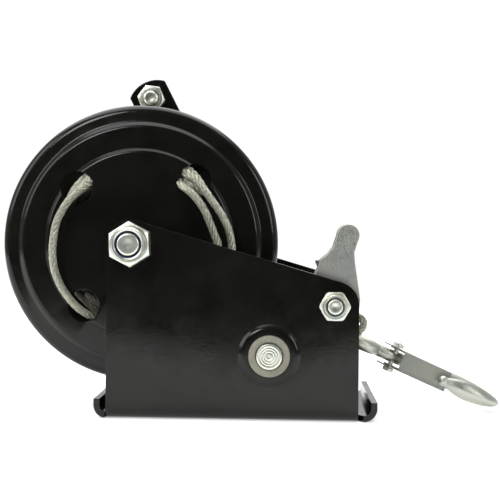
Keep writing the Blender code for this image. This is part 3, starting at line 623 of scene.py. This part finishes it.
def make_tail_rope():
    """The free cable: off the drum, through the ferrule, round a slack eye and back in."""
    off = DRUM.z - TAIL_DROP
    wrap = [(DRUM.x - TAIL_DROP * sin(radians(a)), TAIL_Y, DRUM.z - TAIL_DROP * cos(radians(a)))
            for a in (30, 20, 10)]
    tail = wrap + [(DRUM.x, TAIL_Y, off), (-0.0380, 0.0083, off - 0.0002),
                   (-0.0200, 0.0078, off - 0.0004), (-0.0030, 0.0060, off - 0.0007),
                   (0.0120, 0.0035, off - 0.0010), (0.0200, 0.0008, off - 0.0026),
                   (0.0262, 0.0, EYE.z - 0.0012), (0.0330, 0.0, EYE.z - 0.0021),
                   (EYE.x - 0.0130, 0.0, EYE.z - 0.0021)]
    loop = [(-0.0085, -0.0038), (-0.0035, -0.0057), (0.0012, -0.0058), (0.0056, -0.0034)]
    loop += arc(EYE_CROWN, EYE_CROWN_RADIUS, -50, 105, 8)
    loop += [(0.0030, 0.0078), (-0.0030, 0.0060), (-0.0085, 0.0038), (-0.0130, 0.0021),
             (-0.0190, 0.0021), (-0.0232, 0.0022)]
    eye = [(EYE.x + x, 0.0, EYE.z + z) for x, z in loop]
    points = smooth_path(tail + eye, 0.0007)
    bm = bmesh.new()
    add_rope(bm, points)
    rope = add_piece("free_rope", bm, WIRE, "winch_frame", "cable_tail", "cable_eye", sharp=60)
    return rope, points, path_length(points)


def make_ferrule():
    """A pressed sleeve with three crimps."""
    low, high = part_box("ferrule")
    middle = (low + high) / 2
    bm = bmesh.new()
    rows = []
    count = 45
    for i in range(count):
        t = i / (count - 1)
        end = min(t, 1 - t) * (high.x - low.x)
        round_off = sqrt(max(0.0, 1 - max(0.0, 1 - end / 0.0009) ** 2)) * 0.12 + 0.88
        dent = max(0.0, cos(pi * (3 * t * 2 - 1))) ** 2 * 0.13
        half_y = (high.y - low.y) / 2 * round_off * (1 - dent)
        half_z = (high.z - low.z) / 2 * round_off * (1 - dent * 0.15)
        straight = half_z - half_y
        row = []
        for k in range(40):
            a = 2 * pi * k / 40
            up = straight if sin(a) > 0 else -straight
            row.append((low.x + t * (high.x - low.x), middle.y + half_y * cos(a),
                        middle.z + up + half_y * sin(a)))
        rows.append(row)
    verts = grid(bm, rows, True)
    bm.faces.new(verts[0])
    bm.faces.new(verts[-1])
    add_piece("crimped_ferrule", bm, STEEL, "winch_frame", "ferrule")


# Frame

SHEET = 0.003
BEND = 0.0050


def plate_outline(left, right, foot, corner_left, corner_right):
    dx, dz = PAWL.x - DRUM.x, PAWL.z - DRUM.z
    lean = asin((corner_left - corner_right) / hypot(dx, dz))
    normal = 90 + (atan2(dz, dx) - lean) * 180 / pi
    return ([(right, foot), (left, foot)]
            + arc(axis_point(DRUM), corner_left, 180, normal, 20)
            + arc(axis_point(PAWL), corner_right, normal, 0, 20))


PLATE_LEFT, PLATE_RIGHT = -0.0626, 0.0594
FRAME_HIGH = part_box("frame")[1]
FRAME_HALF = 0.046
LIP_TOP, LIP_HALF = 0.0093, 0.0440
AXLE_HOLE, PAWL_HOLE, BOSS_RADIUS = 0.0064, 0.0044, 0.0147
M8_PITCH, M12_PITCH = 0.00125, 0.00175
PAWL_BORE, AXLE_BORE, SHAFT_BORE = 0.0043, 0.0063, 0.0066
DRUM_NUT = (0.0095, 0.0125, 0.0061)  # half its width, height, bore
PAWL_NUT = (0.00675, 0.0085, 0.0041)


def make_frame():
    bm = bmesh.new()
    boss = [(BOSS_RADIUS, 0.0), (0.0144, 0.0002), (0.0139, 0.0006), (0.0133, 0.0011),
            (0.0128, 0.0014), (0.0122, 0.0015), (0.0112, 0.0015), (0.0103, 0.0015)]
    foot = BEND + SHEET / 2
    for side in (-1, 1):
        y = side * (FRAME_HALF - SHEET / 2)
        outline = plate_outline(PLATE_LEFT, PLATE_RIGHT, foot, 0.0116, 0.0118)
        fill_flat(bm, [outline, circle(axis_point(DRUM), AXLE_HOLE, 32),
                       circle(axis_point(PAWL), PAWL_HOLE, 24),
                       circle(axis_point(PINION), BOSS_RADIUS, 96)], y)
        rings = [[bm.verts.new((x, y + side * lift, z))
                  for x, z in circle(axis_point(PINION), radius, 96)] for radius, lift in boss]
        skin(bm, rings)
    add_base(bm)
    bmesh.ops.remove_doubles(bm, verts=bm.verts, dist=2e-6)
    obj = add_piece("winch_frame_sheet", bm, BLACK, "winch_frame", "frame", sharp=30)
    sheet = obj.modifiers.new("sheet", "SOLIDIFY")
    sheet.thickness = SHEET
    sheet.offset = 0
    sheet.use_even_offset = True
    add_bevel(obj, 0.0009, 3, 50)


def add_base(bm):
    edge = FRAME_HALF - SHEET / 2 - BEND
    half = FRAME_HIGH.x
    end = half - SHEET / 2 - BEND
    floor = SHEET / 2
    outline = [(PLATE_LEFT, -edge), (PLATE_RIGHT, -edge), (end, -LIP_HALF),
               (end, LIP_HALF), (PLATE_RIGHT, edge), (PLATE_LEFT, edge)]
    slots = [slot_outline(-0.038, -0.021), slot_outline(-0.038, 0.021), slot_outline(0.038, 0)]
    part = bmesh.new()
    fill_flat(part, [outline, *slots], 0)
    append(bm, part, Matrix.Translation((0, 0, floor)) @ Matrix.Rotation(pi / 2, 4, "X"))
    steps = 10
    for side in (-1, 1):
        bend = [(side * (edge + BEND * sin(a)), floor + BEND * (1 - cos(a)))
                for a in (pi / 2 * i / steps for i in range(steps + 1))]
        grid(bm, [[(x, y, z) for y, z in bend] for x in (PLATE_LEFT, PLATE_RIGHT)])
    for start, side in ((PLATE_LEFT, -1), (end, 1)):
        radius = BEND if side > 0 else half - SHEET / 2 + PLATE_LEFT
        lip = [(start + side * radius * sin(a), floor + radius * (1 - cos(a)))
               for a in (pi / 2 * i / steps for i in range(steps + 1))]
        lip.append((lip[-1][0], LIP_TOP))
        widths = [LIP_HALF if side > 0 else edge] + [LIP_HALF] * (len(lip) - 1)
        grid(bm, [[(x, way * width, z) for (x, z), width in zip(lip, widths)]
                  for way in (-1, 1)])


def slot_outline(x, y, half_straight=0.0045, radius=0.0055):
    return (arc((x + half_straight, y), radius, -90, 90, 16)
            + arc((x - half_straight, y), radius, 90, 270, 16))


def nut_sections(seat, side, half, height, bore, collar=True, corner_share=1.0):
    """Sections of a hexagon nut with cone chamfers and, on a locking nut, a round collar."""
    corner = half / cos(pi / 6) * corner_share
    body = height * (0.70 if collar else 1.0)
    chamfer = (corner - half * 0.94) * 0.62
    rings = [(bore, 0.0), (half * 0.90, 0.0)]
    for i in range(5):
        t = i / 4
        rings.append((half, chamfer * 0.55 * t, half * 0.955 + (corner - half * 0.955) * t))
    for i in range(6):
        t = 1 - i / 5
        rings.append((half, body - chamfer * t, half * 0.94 + (corner - half * 0.94) * t))
    if collar:
        ring = half * 0.86
        rings += [(ring + 0.0002, body), (ring, body + 0.0003), (ring, height - 0.0009),
                  (ring * 0.985, height - 0.0004), (ring * 0.94, height), (ring * 0.86, height),
                  (ring * 0.80, height - 0.0003), (ring * 0.80, body), (bore, body)]
    else:
        rings += [(bore + 0.0009, body), (bore, body - 0.0007)]
    return [(r, seat + side * y, *c) for r, y, *c in rings]


def thread(radius, start, end, pitch):
    """Sections of a shank with thread grooves, from start to end along Y."""
    way = 1 if end > start else -1
    turns = int(abs(end - start) / pitch)
    out = []
    for i in range(turns):
        y = start + way * pitch * i
        out += [(radius, y + way * pitch * 0.05), (radius, y + way * pitch * 0.25),
                (radius - pitch * 0.45, y + way * pitch * 0.60),
                (radius - pitch * 0.45, y + way * pitch * 0.75)]
    return out


def add_turned(name, sections, centre, mat, body, *nodes, turn=0.0, segments=96, sharp=35):
    bm = bmesh.new()
    turned(bm, sections, axis_point(centre), segments, turn)
    return add_piece(name, bm, mat, body, *nodes, sharp=sharp)


def make_tube(name, node, centre, bore, outer, edge, mat, body):
    """A plain tube as long as its CAD node, with its outer edges broken."""
    low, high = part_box(node)
    rings = [(bore, low.y), (outer - edge, low.y), (outer, low.y + edge),
             (outer, high.y - edge), (outer - edge, high.y), (bore, high.y)]
    add_turned(name, rings, centre, mat, body, node)


def make_bolt(name, node, centre, radius, half, pitch):
    """A hexagon bolt through both plates: thread at its near end, head at its far end."""
    low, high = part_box(node)
    tip, top = low.y, high.y
    seat = FRAME_HALF + GAP
    corner = half / cos(pi / 6)
    rings = [(0, tip + 0.0002), (radius * 0.25, tip + 0.00015), (radius * 0.38, tip)]
    rings += [(radius * (0.72 + 0.20 * sin(a)), tip + radius * 0.20 * (1 - cos(a)))
              for a in (pi / 12 * k for k in range(6))]
    rings += thread(radius, tip + 0.0020, tip + 0.0165, pitch)
    rings += [(radius, tip + 0.0175), (radius, seat)]
    rings += [(half * 0.93, seat), (half, seat + 0.0004, corner)]
    for i in range(6):
        t = 1 - i / 5
        rings.append((half, top - 0.0013 * t, half * 0.93 + (corner - half * 0.93) * t))
    rings += [(half * 0.72, top), (half * 0.68, top - 0.0003), (0, top - 0.0003)]
    add_turned(name, rings, centre, ZINC, "winch_frame", node)


def make_frame_fasteners():
    seat = -FRAME_HALF - GAP
    make_bolt("drum_bolt", "drum_axle_bolt", DRUM, 0.006, 0.009, M12_PITCH)
    make_bolt("lever_bolt", "pawl_bolt", PAWL, 0.004, 0.0065, M8_PITCH)
    add_turned("drum_locking_nut", nut_sections(seat, -1, *DRUM_NUT), DRUM, ZINC,
               "winch_frame", "axle_nut", turn=radians(2.6))
    add_turned("lever_locking_nut", nut_sections(seat, -1, *PAWL_NUT, corner_share=0.955), PAWL,
               ZINC, "winch_frame", "pawl_nut", turn=radians(30))
    for name, node, centre, (half, height, bore), mat in (
            ("drum_nut_ring", "axle_nut_insert", DRUM, DRUM_NUT, NYLON),
            ("lever_nut_ring", "pawl_nut_insert", PAWL, PAWL_NUT, PALE_NYLON)):
        outer = half * 0.86 * 0.80 - 0.0001
        face = seat - height * 0.96
        back = seat - height * 0.72
        rings = [(bore, back), (outer, back), (outer, face + 0.0003), (outer - 0.0003, face),
                 (bore + 0.0004, face), (bore, face + 0.0004)]
        add_turned(name, rings, centre, mat, "winch_frame", node)
    for name, side in (("near_bush", -1), ("far_bush", 1)):
        node = "pinion_bush_near" if side < 0 else "pinion_bush_far"
        inner, outer = side * 0.0417, side * 0.0495
        rings = [(SHAFT_BORE, inner), (0.0118, inner), (0.0118, side * 0.0429),
                 (0.0100, side * 0.0429), (0.0100, outer - side * 0.0005),
                 (0.0095, outer), (0.0070, outer), (SHAFT_BORE, outer - side * 0.0004)]
        add_turned(name, rings, PINION, BUSH, "winch_frame", node)


# Drum

DISC_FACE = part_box("drum_flange")[0].y
DISC_RADIUS = (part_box("drum_flange")[1].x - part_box("drum_flange")[0].x) / 2
DISC_SHEET = 0.002
LACING_CIRCLE, LACING_RADIUS, LACING_START = 0.0427, 0.0082, 49.0


def make_disc():
    middle = DISC_FACE + DISC_SHEET / 2
    rim = 0.0035
    bend = (DISC_RADIUS - DISC_SHEET / 2 - rim, middle + 0.0044 + rim)
    run = [(0.0096, middle), (0.0463, middle), (0.0478, middle + 0.0017),
           (0.0592, middle + 0.0017), (0.0616, middle + 0.0040), (bend[0], middle + 0.0044)]
    run = fillet(run, (0.0015, 0.0015, 0.0018, 0.0030))
    run += [Vector(p) for p in arc(bend, rim, -90, 0, 10)[1:]]
    run.append(Vector((bend[0] + rim, bend[1] + 0.0025)))
    front = offset_run(run, DISC_SHEET / 2)
    back = offset_run(run, -DISC_SHEET / 2)
    sections = [tuple(p) for p in front] + [tuple(p) for p in reversed(back)]
    bm = bmesh.new()
    turned(bm, sections, axis_point(DRUM), 240)
    obj = add_piece("drum_disc", bm, BLACK, "drum", "drum_flange", sharp=40)
    cutter = bmesh.new()
    edge, front_end = 0.0005, -0.03
    hole = [(0, front_end), (LACING_RADIUS + edge, front_end), (LACING_RADIUS + edge, DISC_FACE),
            (LACING_RADIUS, DISC_FACE + edge), (LACING_RADIUS, 0.0), (0, 0.0)]
    for k in range(4):
        angle = radians(LACING_START + 90 * k)
        x, z = polar(axis_point(DRUM), LACING_CIRCLE, angle)
        turned(cutter, hole, (x, z), 48)
    cut_and_apply(obj, cutter)


def cut_and_apply(obj, cutter, operation="DIFFERENCE"):
    """Cut a piece by a closed bmesh and keep the result as its mesh."""
    bmesh.ops.recalc_face_normals(cutter, faces=cutter.faces)
    mesh = bpy.data.meshes.new("cutter")
    cutter.to_mesh(mesh)
    cutter.free()
    tool = bpy.data.objects.new("cutter", mesh)
    bpy.context.scene.collection.objects.link(tool)
    modifier = obj.modifiers.new("cut", "BOOLEAN")
    modifier.operation = operation
    modifier.solver = "EXACT"
    modifier.object = tool
    apply_modifiers(obj)
    bpy.data.objects.remove(tool)


def apply_modifiers(obj):
    bpy.context.view_layer.update()
    graph = bpy.context.evaluated_depsgraph_get()
    mesh = bpy.data.meshes.new_from_object(obj.evaluated_get(graph))
    obj.modifiers.clear()
    obj.data = mesh


def lacing_path(points, depths):
    """points are millimetres from the drum's axis, depths are Y in millimetres."""
    return smooth_path([(DRUM.x + x / 1000, y / 1000, DRUM.z + z / 1000)
                        for (x, z), y in zip(points, depths)], 0.0006)


def flare(share, widest):
    """A radius that swells where the rope is bent into its hole at the path's start."""
    return lambda t: ROPE_RADIUS * (1 + (widest - 1) * max(0.0, 1 - t / share) ** 1.5)


def make_lacing():
    left = lacing_path([(-24.4, 32.6), (-29.4, 27.5), (-34.4, 22.4), (-38.4, 16.3), (-41.3, 9.2),
                        (-42.5, 1.1), (-42.7, -5.9), (-41.6, -14.0), (-39.0, -21.0),
                        (-35.4, -27.0), (-30.8, -32.5), (-26.2, -36.0), (-22.6, -38.0)],
                       (-9.5, -13.0, -16.0, -17.6, -18.8, -19.6, -20.0, -19.8, -19.0, -17.8,
                        -16.4, -14.2, -10.5))
    inner = lacing_path([(19.2, 31.3), (21.6, 29.6), (26.1, 26.1), (29.9, 22.1), (33.5, 16.9),
                         (36.1, 11.2), (38.5, 5.4), (40.3, 0.8), (41.0, -4.9), (40.8, -10.9),
                         (39.1, -16.9), (35.7, -23.0), (31.2, -28.1)],
                        (-9.5, -13.0, -15.8, -16.8, -17.6, -18.0, -18.2, -18.2, -18.0, -17.8,
                         -16.8, -14.6, -10.5))
    outer = lacing_path([(23.6, 36.8), (28.5, 33.2), (33.3, 27.2), (36.9, 22.2), (40.7, 16.9),
                         (43.6, 12.1), (45.7, 7.3), (47.0, 2.0), (47.5, -2.8), (47.3, -8.8),
                         (45.7, -15.9), (42.2, -22.9), (37.3, -29.5)],
                        (-9.0, -13.0, -16.0, -16.8, -17.4, -17.8, -18.0, -18.0, -17.8, -17.4,
                         -16.6, -14.6, -10.5))
    under = lacing_path([(22.7, 32.6), (26.4, 29.9), (29.6, 27.9), (32.4, 25.6)],
                        (-8.0, -10.6, -11.6, -11.2))
    second = lacing_path([(-35.6, 22.4), (-33.4, 26.6), (-30.0, 31.0), (-26.4, 34.6)],
                         (-11.4, -11.8, -10.6, -8.0))
    for name, node, strands in (
            ("rope_lacing_left", "cable_lacing_left",
             ((left, flare(0.17, 1.75)), (second, flare(0.5, 1.0)))),
            ("rope_lacing_inner", "cable_lacing_inner",
             ((inner, flare(0.12, 1.3)), (under, flare(0.5, 1.0)))),
            ("rope_lacing_outer", "cable_lacing_outer", ((outer, flare(0.20, 1.75)),))):
        bm = bmesh.new()
        for points, radius in strands:
            add_rope(bm, points, 6, radius)
        add_piece(name, bm, WIRE, "drum", node, sharp=60)


def helix(radius, low, high, turns, start=0.0):
    count = max(8, round(2 * pi * radius * turns / 0.0016))
    points = []
    for i in range(count + 1):
        t = i / count
        x, z = polar(axis_point(DRUM), radius, start + 2 * pi * turns * t)
        points.append(Vector((x, low + (high - low) * t, z)))
    return points


def make_winding():
    """Every turn of the wound rope: four whole layers and the start of a fifth.

    The fifth layer's end cuts into the fixed free rope at some crank angles.
    """
    bm = bmesh.new()
    near, far, pitch = -0.0072, 0.0281, 0.00412
    turns = (far - near) / pitch
    first, step = 0.0273, 0.00346
    for layer in range(4):
        add_rope(bm, helix(first + step * layer, near, far, turns, 1.3 * layer),
                 4 if layer == 3 else 3)
    add_rope(bm, helix(first + step * 4, near, near + 3 * pitch, 3.0, 1.1), 4)
    add_piece("wound_rope", bm, WOUND, "drum", "cable_winding", sharp=60)


def make_drum_parts():
    edged_copy("ring_gear", BLACK, "drum", "drum_gear", 0.0005)
    low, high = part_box("drum_core")
    radius = (high.x - low.x) / 2
    bore = radius - 0.0025
    rings = [(bore, low.y), (radius, low.y), (radius, high.y), (bore, high.y)]
    add_turned("drum_tube", rings, DRUM, BLACK, "drum", "drum_core", segments=128)
    make_tube("axle_sleeve", "drum_sleeve", DRUM, AXLE_BORE, 0.0093, 0.0005, BUSH, "drum")
    edged_copy("clamp_plate", ZINC, "drum", "anchor_plate", 0.0004)
    for name, node in (("clamp_bolt_left", "anchor_bolt_left"),
                       ("clamp_bolt_right", "anchor_bolt_right")):
        low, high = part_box(node)
        place = (low + high) / 2
        half = 0.0038
        corner = half / cos(pi / 6)
        rings = [(0, low.y), (half, low.y, corner)]
        rings += [(half, high.y - 0.0009 * (1 - t / 4), half * 0.92 + (corner - half * 0.92)
                   * (1 - t / 4)) for t in range(5)]
        rings += [(half * 0.7, high.y), (half * 0.66, high.y - 0.0002), (0, high.y - 0.0002)]
        add_turned(name, rings, place, ZINC, "drum", node, segments=72)


# Crank

def make_shaft():
    low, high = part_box("pinion_shaft")
    start, end = low.y, high.y
    radius = 0.0063
    rings = [(0, start + 0.0005), (0.0009, start + 0.0004)]
    for k in range(7):
        reach = 0.0013 + 0.0006 * k
        rings += [(reach, start + (0.00014 if k % 2 else 0.0)),
                  (reach + 0.0003, start + (0.00014 if k % 2 else 0.0))]
    rings += [(radius - 0.0007, start), (radius - 0.0002, start + 0.0002),
              (radius, start + 0.0007), (radius, end - 0.0100)]
    rings += thread(radius, end - 0.0098, end - 0.0008, M12_PITCH)
    rings += [(radius * 0.8, end), (0, end)]
    add_turned("pinion_axle", rings, PINION, ZINC, "crank", "pinion_shaft")
    edged_copy("pinion", STEEL, "crank", "pinion_gear", 0.0004)
    edged_copy("ratchet", STEEL, "crank", "ratchet_wheel", 0.0004)
    for name, node, inner, outer in (("shaft_sleeve", "shaft_spacer", SHAFT_BORE, 0.0076),
                                     ("arm_collar", "arm_spacer", SHAFT_BORE, 0.0095)):
        make_tube(name, node, PINION, inner, outer, 0.0003, ZINC, "crank")


def make_crank_arm():
    low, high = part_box("crank_arm")
    reach = GRIP - PINION
    length, direction = hypot(reach.x, reach.z), atan2(reach.z, reach.x)
    half, bow, swing = 0.0109, 0.0163, 42
    outline = arc((0, 0), half + 0.0017, 122, 238, 32)
    outline += arc((length + 0.0102 - bow, 0), bow, -swing, swing, 32)
    outline = [(PINION.x + x * cos(direction) - z * sin(direction),
                PINION.z + x * sin(direction) + z * cos(direction)) for x, z in outline]
    bm = bmesh.new()
    prism(bm, [outline, circle(axis_point(PINION), SHAFT_BORE, 48),
               circle(axis_point(GRIP), 0.0043, 32)], low.y, high.y)
    add_piece("flat_arm", bm, BLACK, "crank", "crank_arm", sharp=30, bevel=0.0007)
    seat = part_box("crank_nut")[0].y
    add_turned("arm_nut", nut_sections(seat, 1, 0.0095, 0.0070, SHAFT_BORE, False), PINION, ZINC,
               "crank", "crank_nut", turn=radians(12))
    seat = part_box("grip_nut")[1].y
    add_turned("grip_lock_nut", nut_sections(seat, -1, 0.0067, 0.0065, 0.0042, False), GRIP,
               ZINC, "crank", "grip_nut", turn=radians(23))


def make_grip():
    low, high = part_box("grip_bolt")
    tip, top = low.y, high.y
    rings = [(0, tip + 0.0002), (0.0016, tip + 0.0001), (0.0020, tip), (0.0030, tip)]
    rings += [(0.0034, tip + 0.0003)] + thread(0.0039, tip + 0.0006, tip + 0.0085, M8_PITCH)
    rings += [(0.0040, tip + 0.0090), (0.0040, top - 0.0035)]
    rings += [(0.0066, top - 0.0035), (0.0070, top - 0.0029), (0.0069, top - 0.0020),
              (0.0062, top - 0.0010), (0.0050, top - 0.0004), (0.0030, top - 0.0001), (0, top)]
    add_turned("grip_pin", rings, GRIP, ZINC, "crank", "grip_bolt", segments=64)
    low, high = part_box("grip")
    start, length = low.y, high.y - low.y
    shape = [(0.0062, 0.0), (0.0070, 0.0005), (0.0074, 0.0012), (0.0076, 0.0024),
             (0.0075, 0.0060), (0.0073, 0.0100), (0.0074, 0.0160), (0.0076, 0.0240),
             (0.0079, 0.0340), (0.0080, 0.0430), (0.0079, 0.0490), (0.0076, 0.0535),
             (0.0072, 0.0562), (0.0066, length - 0.0010), (0.0056, length)]
    fine = smooth_path([(r, 0, y) for r, y in shape], 0.0006)
    sections = [(0.0044, start)]
    for p in fine:
        groove = 0.00035 if any(abs(p.z - at) < 0.0005 for at in (0.0052, 0.0078, 0.0515)) else 0
        sections.append((p.x - groove, start + p.z))
    sections.append((0.0044, start + length))
    add_turned("turning_handle", sections, GRIP, PLASTIC, "turning_grip", "grip", sharp=50)


# Pawl

THUMB, THUMB_RADIUS = (0.0537, 0.0898), 0.0054
LEVER_RIGHT = [(0.0567, 0.0815), (0.0571, 0.0770), (0.0580, 0.0710), (0.0599, 0.0585)]


def lever_outline():
    left = [(0.0366, 0.0600), (0.0376, 0.0706), (0.0395, 0.0752), (0.0401, 0.0778),
            (0.0440, 0.0810), (0.0464, 0.0842)]
    right = [(p.x, p.z) for p in smooth_path([(x, 0, z) for x, z in LEVER_RIGHT], 0.0008)]
    return (arc(THUMB, THUMB_RADIUS, 176, -28, 32) + right
            + arc(axis_point(PAWL), 0.0122, -8, -150, 32) + left)


def make_pawl_lever():
    """Two cheeks folded from one sheet, joined down the lever's back and round its thumb."""
    bm = bmesh.new()
    low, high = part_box("pawl_lever")
    sheet = 0.0017
    for start in (low.y, high.y - sheet):
        prism(bm, [lever_outline(), circle(axis_point(PAWL), 0.0073, 48)], start, start + sheet)
    catch = [(0.0392, 0.0740), (0.0385, 0.0755), (0.0379, 0.0772), (0.0386, 0.0774),
             (0.0402, 0.0774), (0.0412, 0.0766)]
    prism(bm, [catch], high.y - sheet, high.y)
    obj = add_piece("folded_lever", bm, PRESSED, "pawl", "pawl_lever", sharp=40)
    outer = arc(THUMB, THUMB_RADIUS, 150, -28, 24)
    outer += [(p.x, p.z) for p in smooth_path([(x, 0, z) for x, z in LEVER_RIGHT], 0.0008)]
    inner = [tuple(p) for p in offset_run([Vector(p) for p in outer], sheet)]
    web = bmesh.new()
    prism(web, [outer + inner[::-1]], low.y + 0.0008, high.y - 0.0008)
    cut_and_apply(obj, web, "UNION")
    soften(obj, 0.00024, 5)
    rings = [(0.0043, -0.0427), (0.0066, -0.0427), (0.0070, -0.0423), (0.0070, -0.0260),
             (0.0066, -0.0256), (0.0043, -0.0256)]
    add_turned("lever_hub", rings, PAWL, ZINC, "pawl", "pawl_hub")
    edged_copy("lever_tooth", STEEL, "pawl", "pawl_tooth", 0.0004)
    make_tube("lever_spacer", "pawl_spacer", PAWL, PAWL_BORE, 0.0065, 0.0004, ZINC,
              "winch_frame")
    for name, node in (("axle_tube_near", "axle_spacer_near"),
                       ("axle_tube_far", "axle_spacer_far")):
        make_tube(name, node, DRUM, AXLE_BORE, 0.0092, 0.0004, ZINC, "winch_frame")


# Hook

def hook_point(along, across, up=0.0):
    return HOOK_EYE + along * HOOK_ALONG + across * HOOK_ACROSS + up * HOOK_UP


def hook_sections():
    """(along, across, half thickness, half width, ridge) down the hook to its bill's tip."""
    return [(0.0088, 0.0, 0.0030, 0.0030, 1.0), (0.0145, -0.0004, 0.0036, 0.0031, 0.9),
            (0.0205, -0.0018, 0.0036, 0.0032, 0.9), (0.0290, -0.0056, 0.0032, 0.0034, 0.9),
            (0.0385, -0.0080, 0.0033, 0.0040, 1.0), (0.0490, -0.0090, 0.0034, 0.0044, 1.0),
            (0.0580, -0.0090, 0.0036, 0.0046, 1.0), (0.0660, -0.0078, 0.0038, 0.0042, 1.1),
            (0.0720, -0.0040, 0.0040, 0.0034, 1.2), (0.0748, 0.0012, 0.0042, 0.0028, 1.3),
            (0.0724, 0.0068, 0.0040, 0.0034, 1.4), (0.0668, 0.0106, 0.0036, 0.0043, 1.5),
            (0.0593, 0.0124, 0.0031, 0.0048, 1.45), (0.0533, 0.0125, 0.0028, 0.0040, 1.25),
            (0.0495, 0.0122, 0.0022, 0.0028, 1.0), (0.0470, 0.0118, 0.0020, 0.0021, 1.0)]


def catmull(rows, steps):
    """Rows of numbers, with smooth rows between them."""
    ends = [[2 * a - b for a, b in zip(rows[0], rows[1])],
            [2 * a - b for a, b in zip(rows[-1], rows[-2])]]
    rows = [ends[0], *rows, ends[1]]
    out = []
    for i in range(1, len(rows) - 2):
        for j in range(steps):
            t = j / steps
            out.append([0.5 * (2 * b + (c - a) * t + (2 * a - 5 * b + 4 * c - d) * t ** 2
                               + (3 * b - 3 * c + d - a) * t ** 3)
                        for a, b, c, d in zip(*rows[i - 1:i + 3])])
    out.append(rows[-2])
    return out


def make_hook():
    sections = catmull(hook_sections(), 8)
    bm = bmesh.new()
    rings = []
    for i, (along, across, thick, wide, ridge) in enumerate(sections):
        before, after = sections[max(i - 1, 0)], sections[min(i + 1, len(sections) - 1)]
        run = Vector((after[0] - before[0], after[1] - before[1])).normalized()
        ring = []
        for k in range(40):
            a = 2 * pi * k / 40
            side = thick * (1 if cos(a) > 0 else -1) * abs(cos(a)) ** ridge
            up = wide * (1 if sin(a) > 0 else -1) * abs(sin(a)) ** (0.5 + ridge / 2)
            ring.append(bm.verts.new(hook_point(along - run.y * side, across + run.x * side, up)))
        rings.append(ring)
    skin(bm, rings)
    bm.faces.new(rings[0])
    bm.faces.new(rings[-1])
    obj = add_piece("forged_hook", bm, FORGED, "snap_hook", "hook", sharp=180)
    ring = bmesh.new()
    rows = []
    for i in range(72):
        a = 2 * pi * i / 72
        reach = [HOOK_RING + HOOK_WIRE * cos(2 * pi * k / 28) for k in range(28)]
        rows.append([ring.verts.new(hook_point(r * cos(a), r * sin(a),
                                               HOOK_WIRE * sin(2 * pi * k / 28)))
                     for k, r in enumerate(reach)])
    skin(ring, rows, True)
    cut_and_apply(obj, ring, "UNION")
    ball = bmesh.new()
    bmesh.ops.create_uvsphere(ball, u_segments=24, v_segments=16, radius=0.0027,
                              matrix=Matrix.Translation(hook_point(0.0470, 0.0118)))
    cut_and_apply(obj, ball, "UNION")
    soften(obj, 0.00028, 6)


def make_pin_and_springs():
    bm = bmesh.new()
    half = 0.0079
    rings = [(0, -half), (0.0016, -half), (0.0021, -half + 0.0003), (0.0021, -half + 0.0008),
             (0.0013, -half + 0.0011), (0.0013, half - 0.0011), (0.0021, half - 0.0008),
             (0.0021, half - 0.0003), (0.0016, half), (0, half)]
    lathe(bm, rings, hook_point(PIN_ALONG, 0), HOOK_UP, 32)
    add_piece("rivet", bm, ZINC, "snap_hook", "latch_pin")
    wire, coil = 0.00040, 0.0025
    low, high = 0.0057, 0.0076
    turns, count = 3.5, 84
    for name, node, side in (("spring_upper", "latch_spring_upper", 1),
                             ("spring_lower", "latch_spring_lower", -1)):
        points = [hook_point(PIN_ALONG - 0.0072, 0.0006, side * 0.0052),
                  hook_point(PIN_ALONG - 0.0040, 0.0016, side * 0.0053)]
        for i in range(count + 1):
            a = pi / 2 + 2 * pi * turns * i / count
            points.append(hook_point(PIN_ALONG + coil * cos(a), coil * sin(a),
                                     side * (low + (high - low) * i / count)))
        points.append(hook_point(PIN_ALONG + 0.0018, -0.0030, side * (high - 0.0002)))
        bm = bmesh.new()
        add_tube(bm, smooth_path(points, 0.0003), wire, 8)
        add_piece(name, bm, ZINC, "snap_hook", node, sharp=60)


def add_block(bm, outline, low, high):
    """A block with an (along, across) outline, from low to high square to the hook's plane."""
    ends = [[bm.verts.new(hook_point(along, across, up)) for along, across in outline]
            for up in (low, high)]
    skin(bm, ends)
    bm.faces.new(ends[0])
    bm.faces.new(ends[1])


def make_latch():
    """A plate pressed down between two side walls, which end in ears round the pin."""
    wall, half, start, end, sink = 0.0009, 0.0052, 0.0243, 0.0499, 0.0004
    ear = arc((PIN_ALONG, 0), 0.0034, 75, 285, 24)
    side = ear + [(0.0262, -0.0012), (0.0340, 0.0024), (end, 0.0048), (end, 0.0086),
                  (start, 0.0080)]
    hole = circle((PIN_ALONG, 0), 0.0016, 24)
    bm = bmesh.new()
    for low in (-half, half - wall):
        wall_part = bmesh.new()
        fill_flat(wall_part, (side, hole), place=lambda x, y: hook_point(x, y, low))
        thicken(wall_part, wall * HOOK_UP)
        append(bm, wall_part)
    obj = add_piece("latch_plate", bm, LATCH_ZINC, "hook_latch", "latch", sharp=30)
    plate = bmesh.new()
    add_block(plate, [(start, 0.0080 - wall - sink), (end, 0.0086 - wall - sink),
                      (end, 0.0086 - sink), (start, 0.0080 - sink)],
              -half + wall / 2, half - wall / 2)
    cut_and_apply(obj, plate, "UNION")
    add_bevel(obj, 0.00022, 2, 40)


make_camera()
make_stage()
rope, rope_points, rope_length = make_tail_rope()
make_ferrule()
make_frame()
make_frame_fasteners()
make_disc()
make_lacing()
make_winding()
make_drum_parts()
make_shaft()
make_crank_arm()
make_grip()
make_pawl_lever()
make_hook()
make_pin_and_springs()
make_latch()
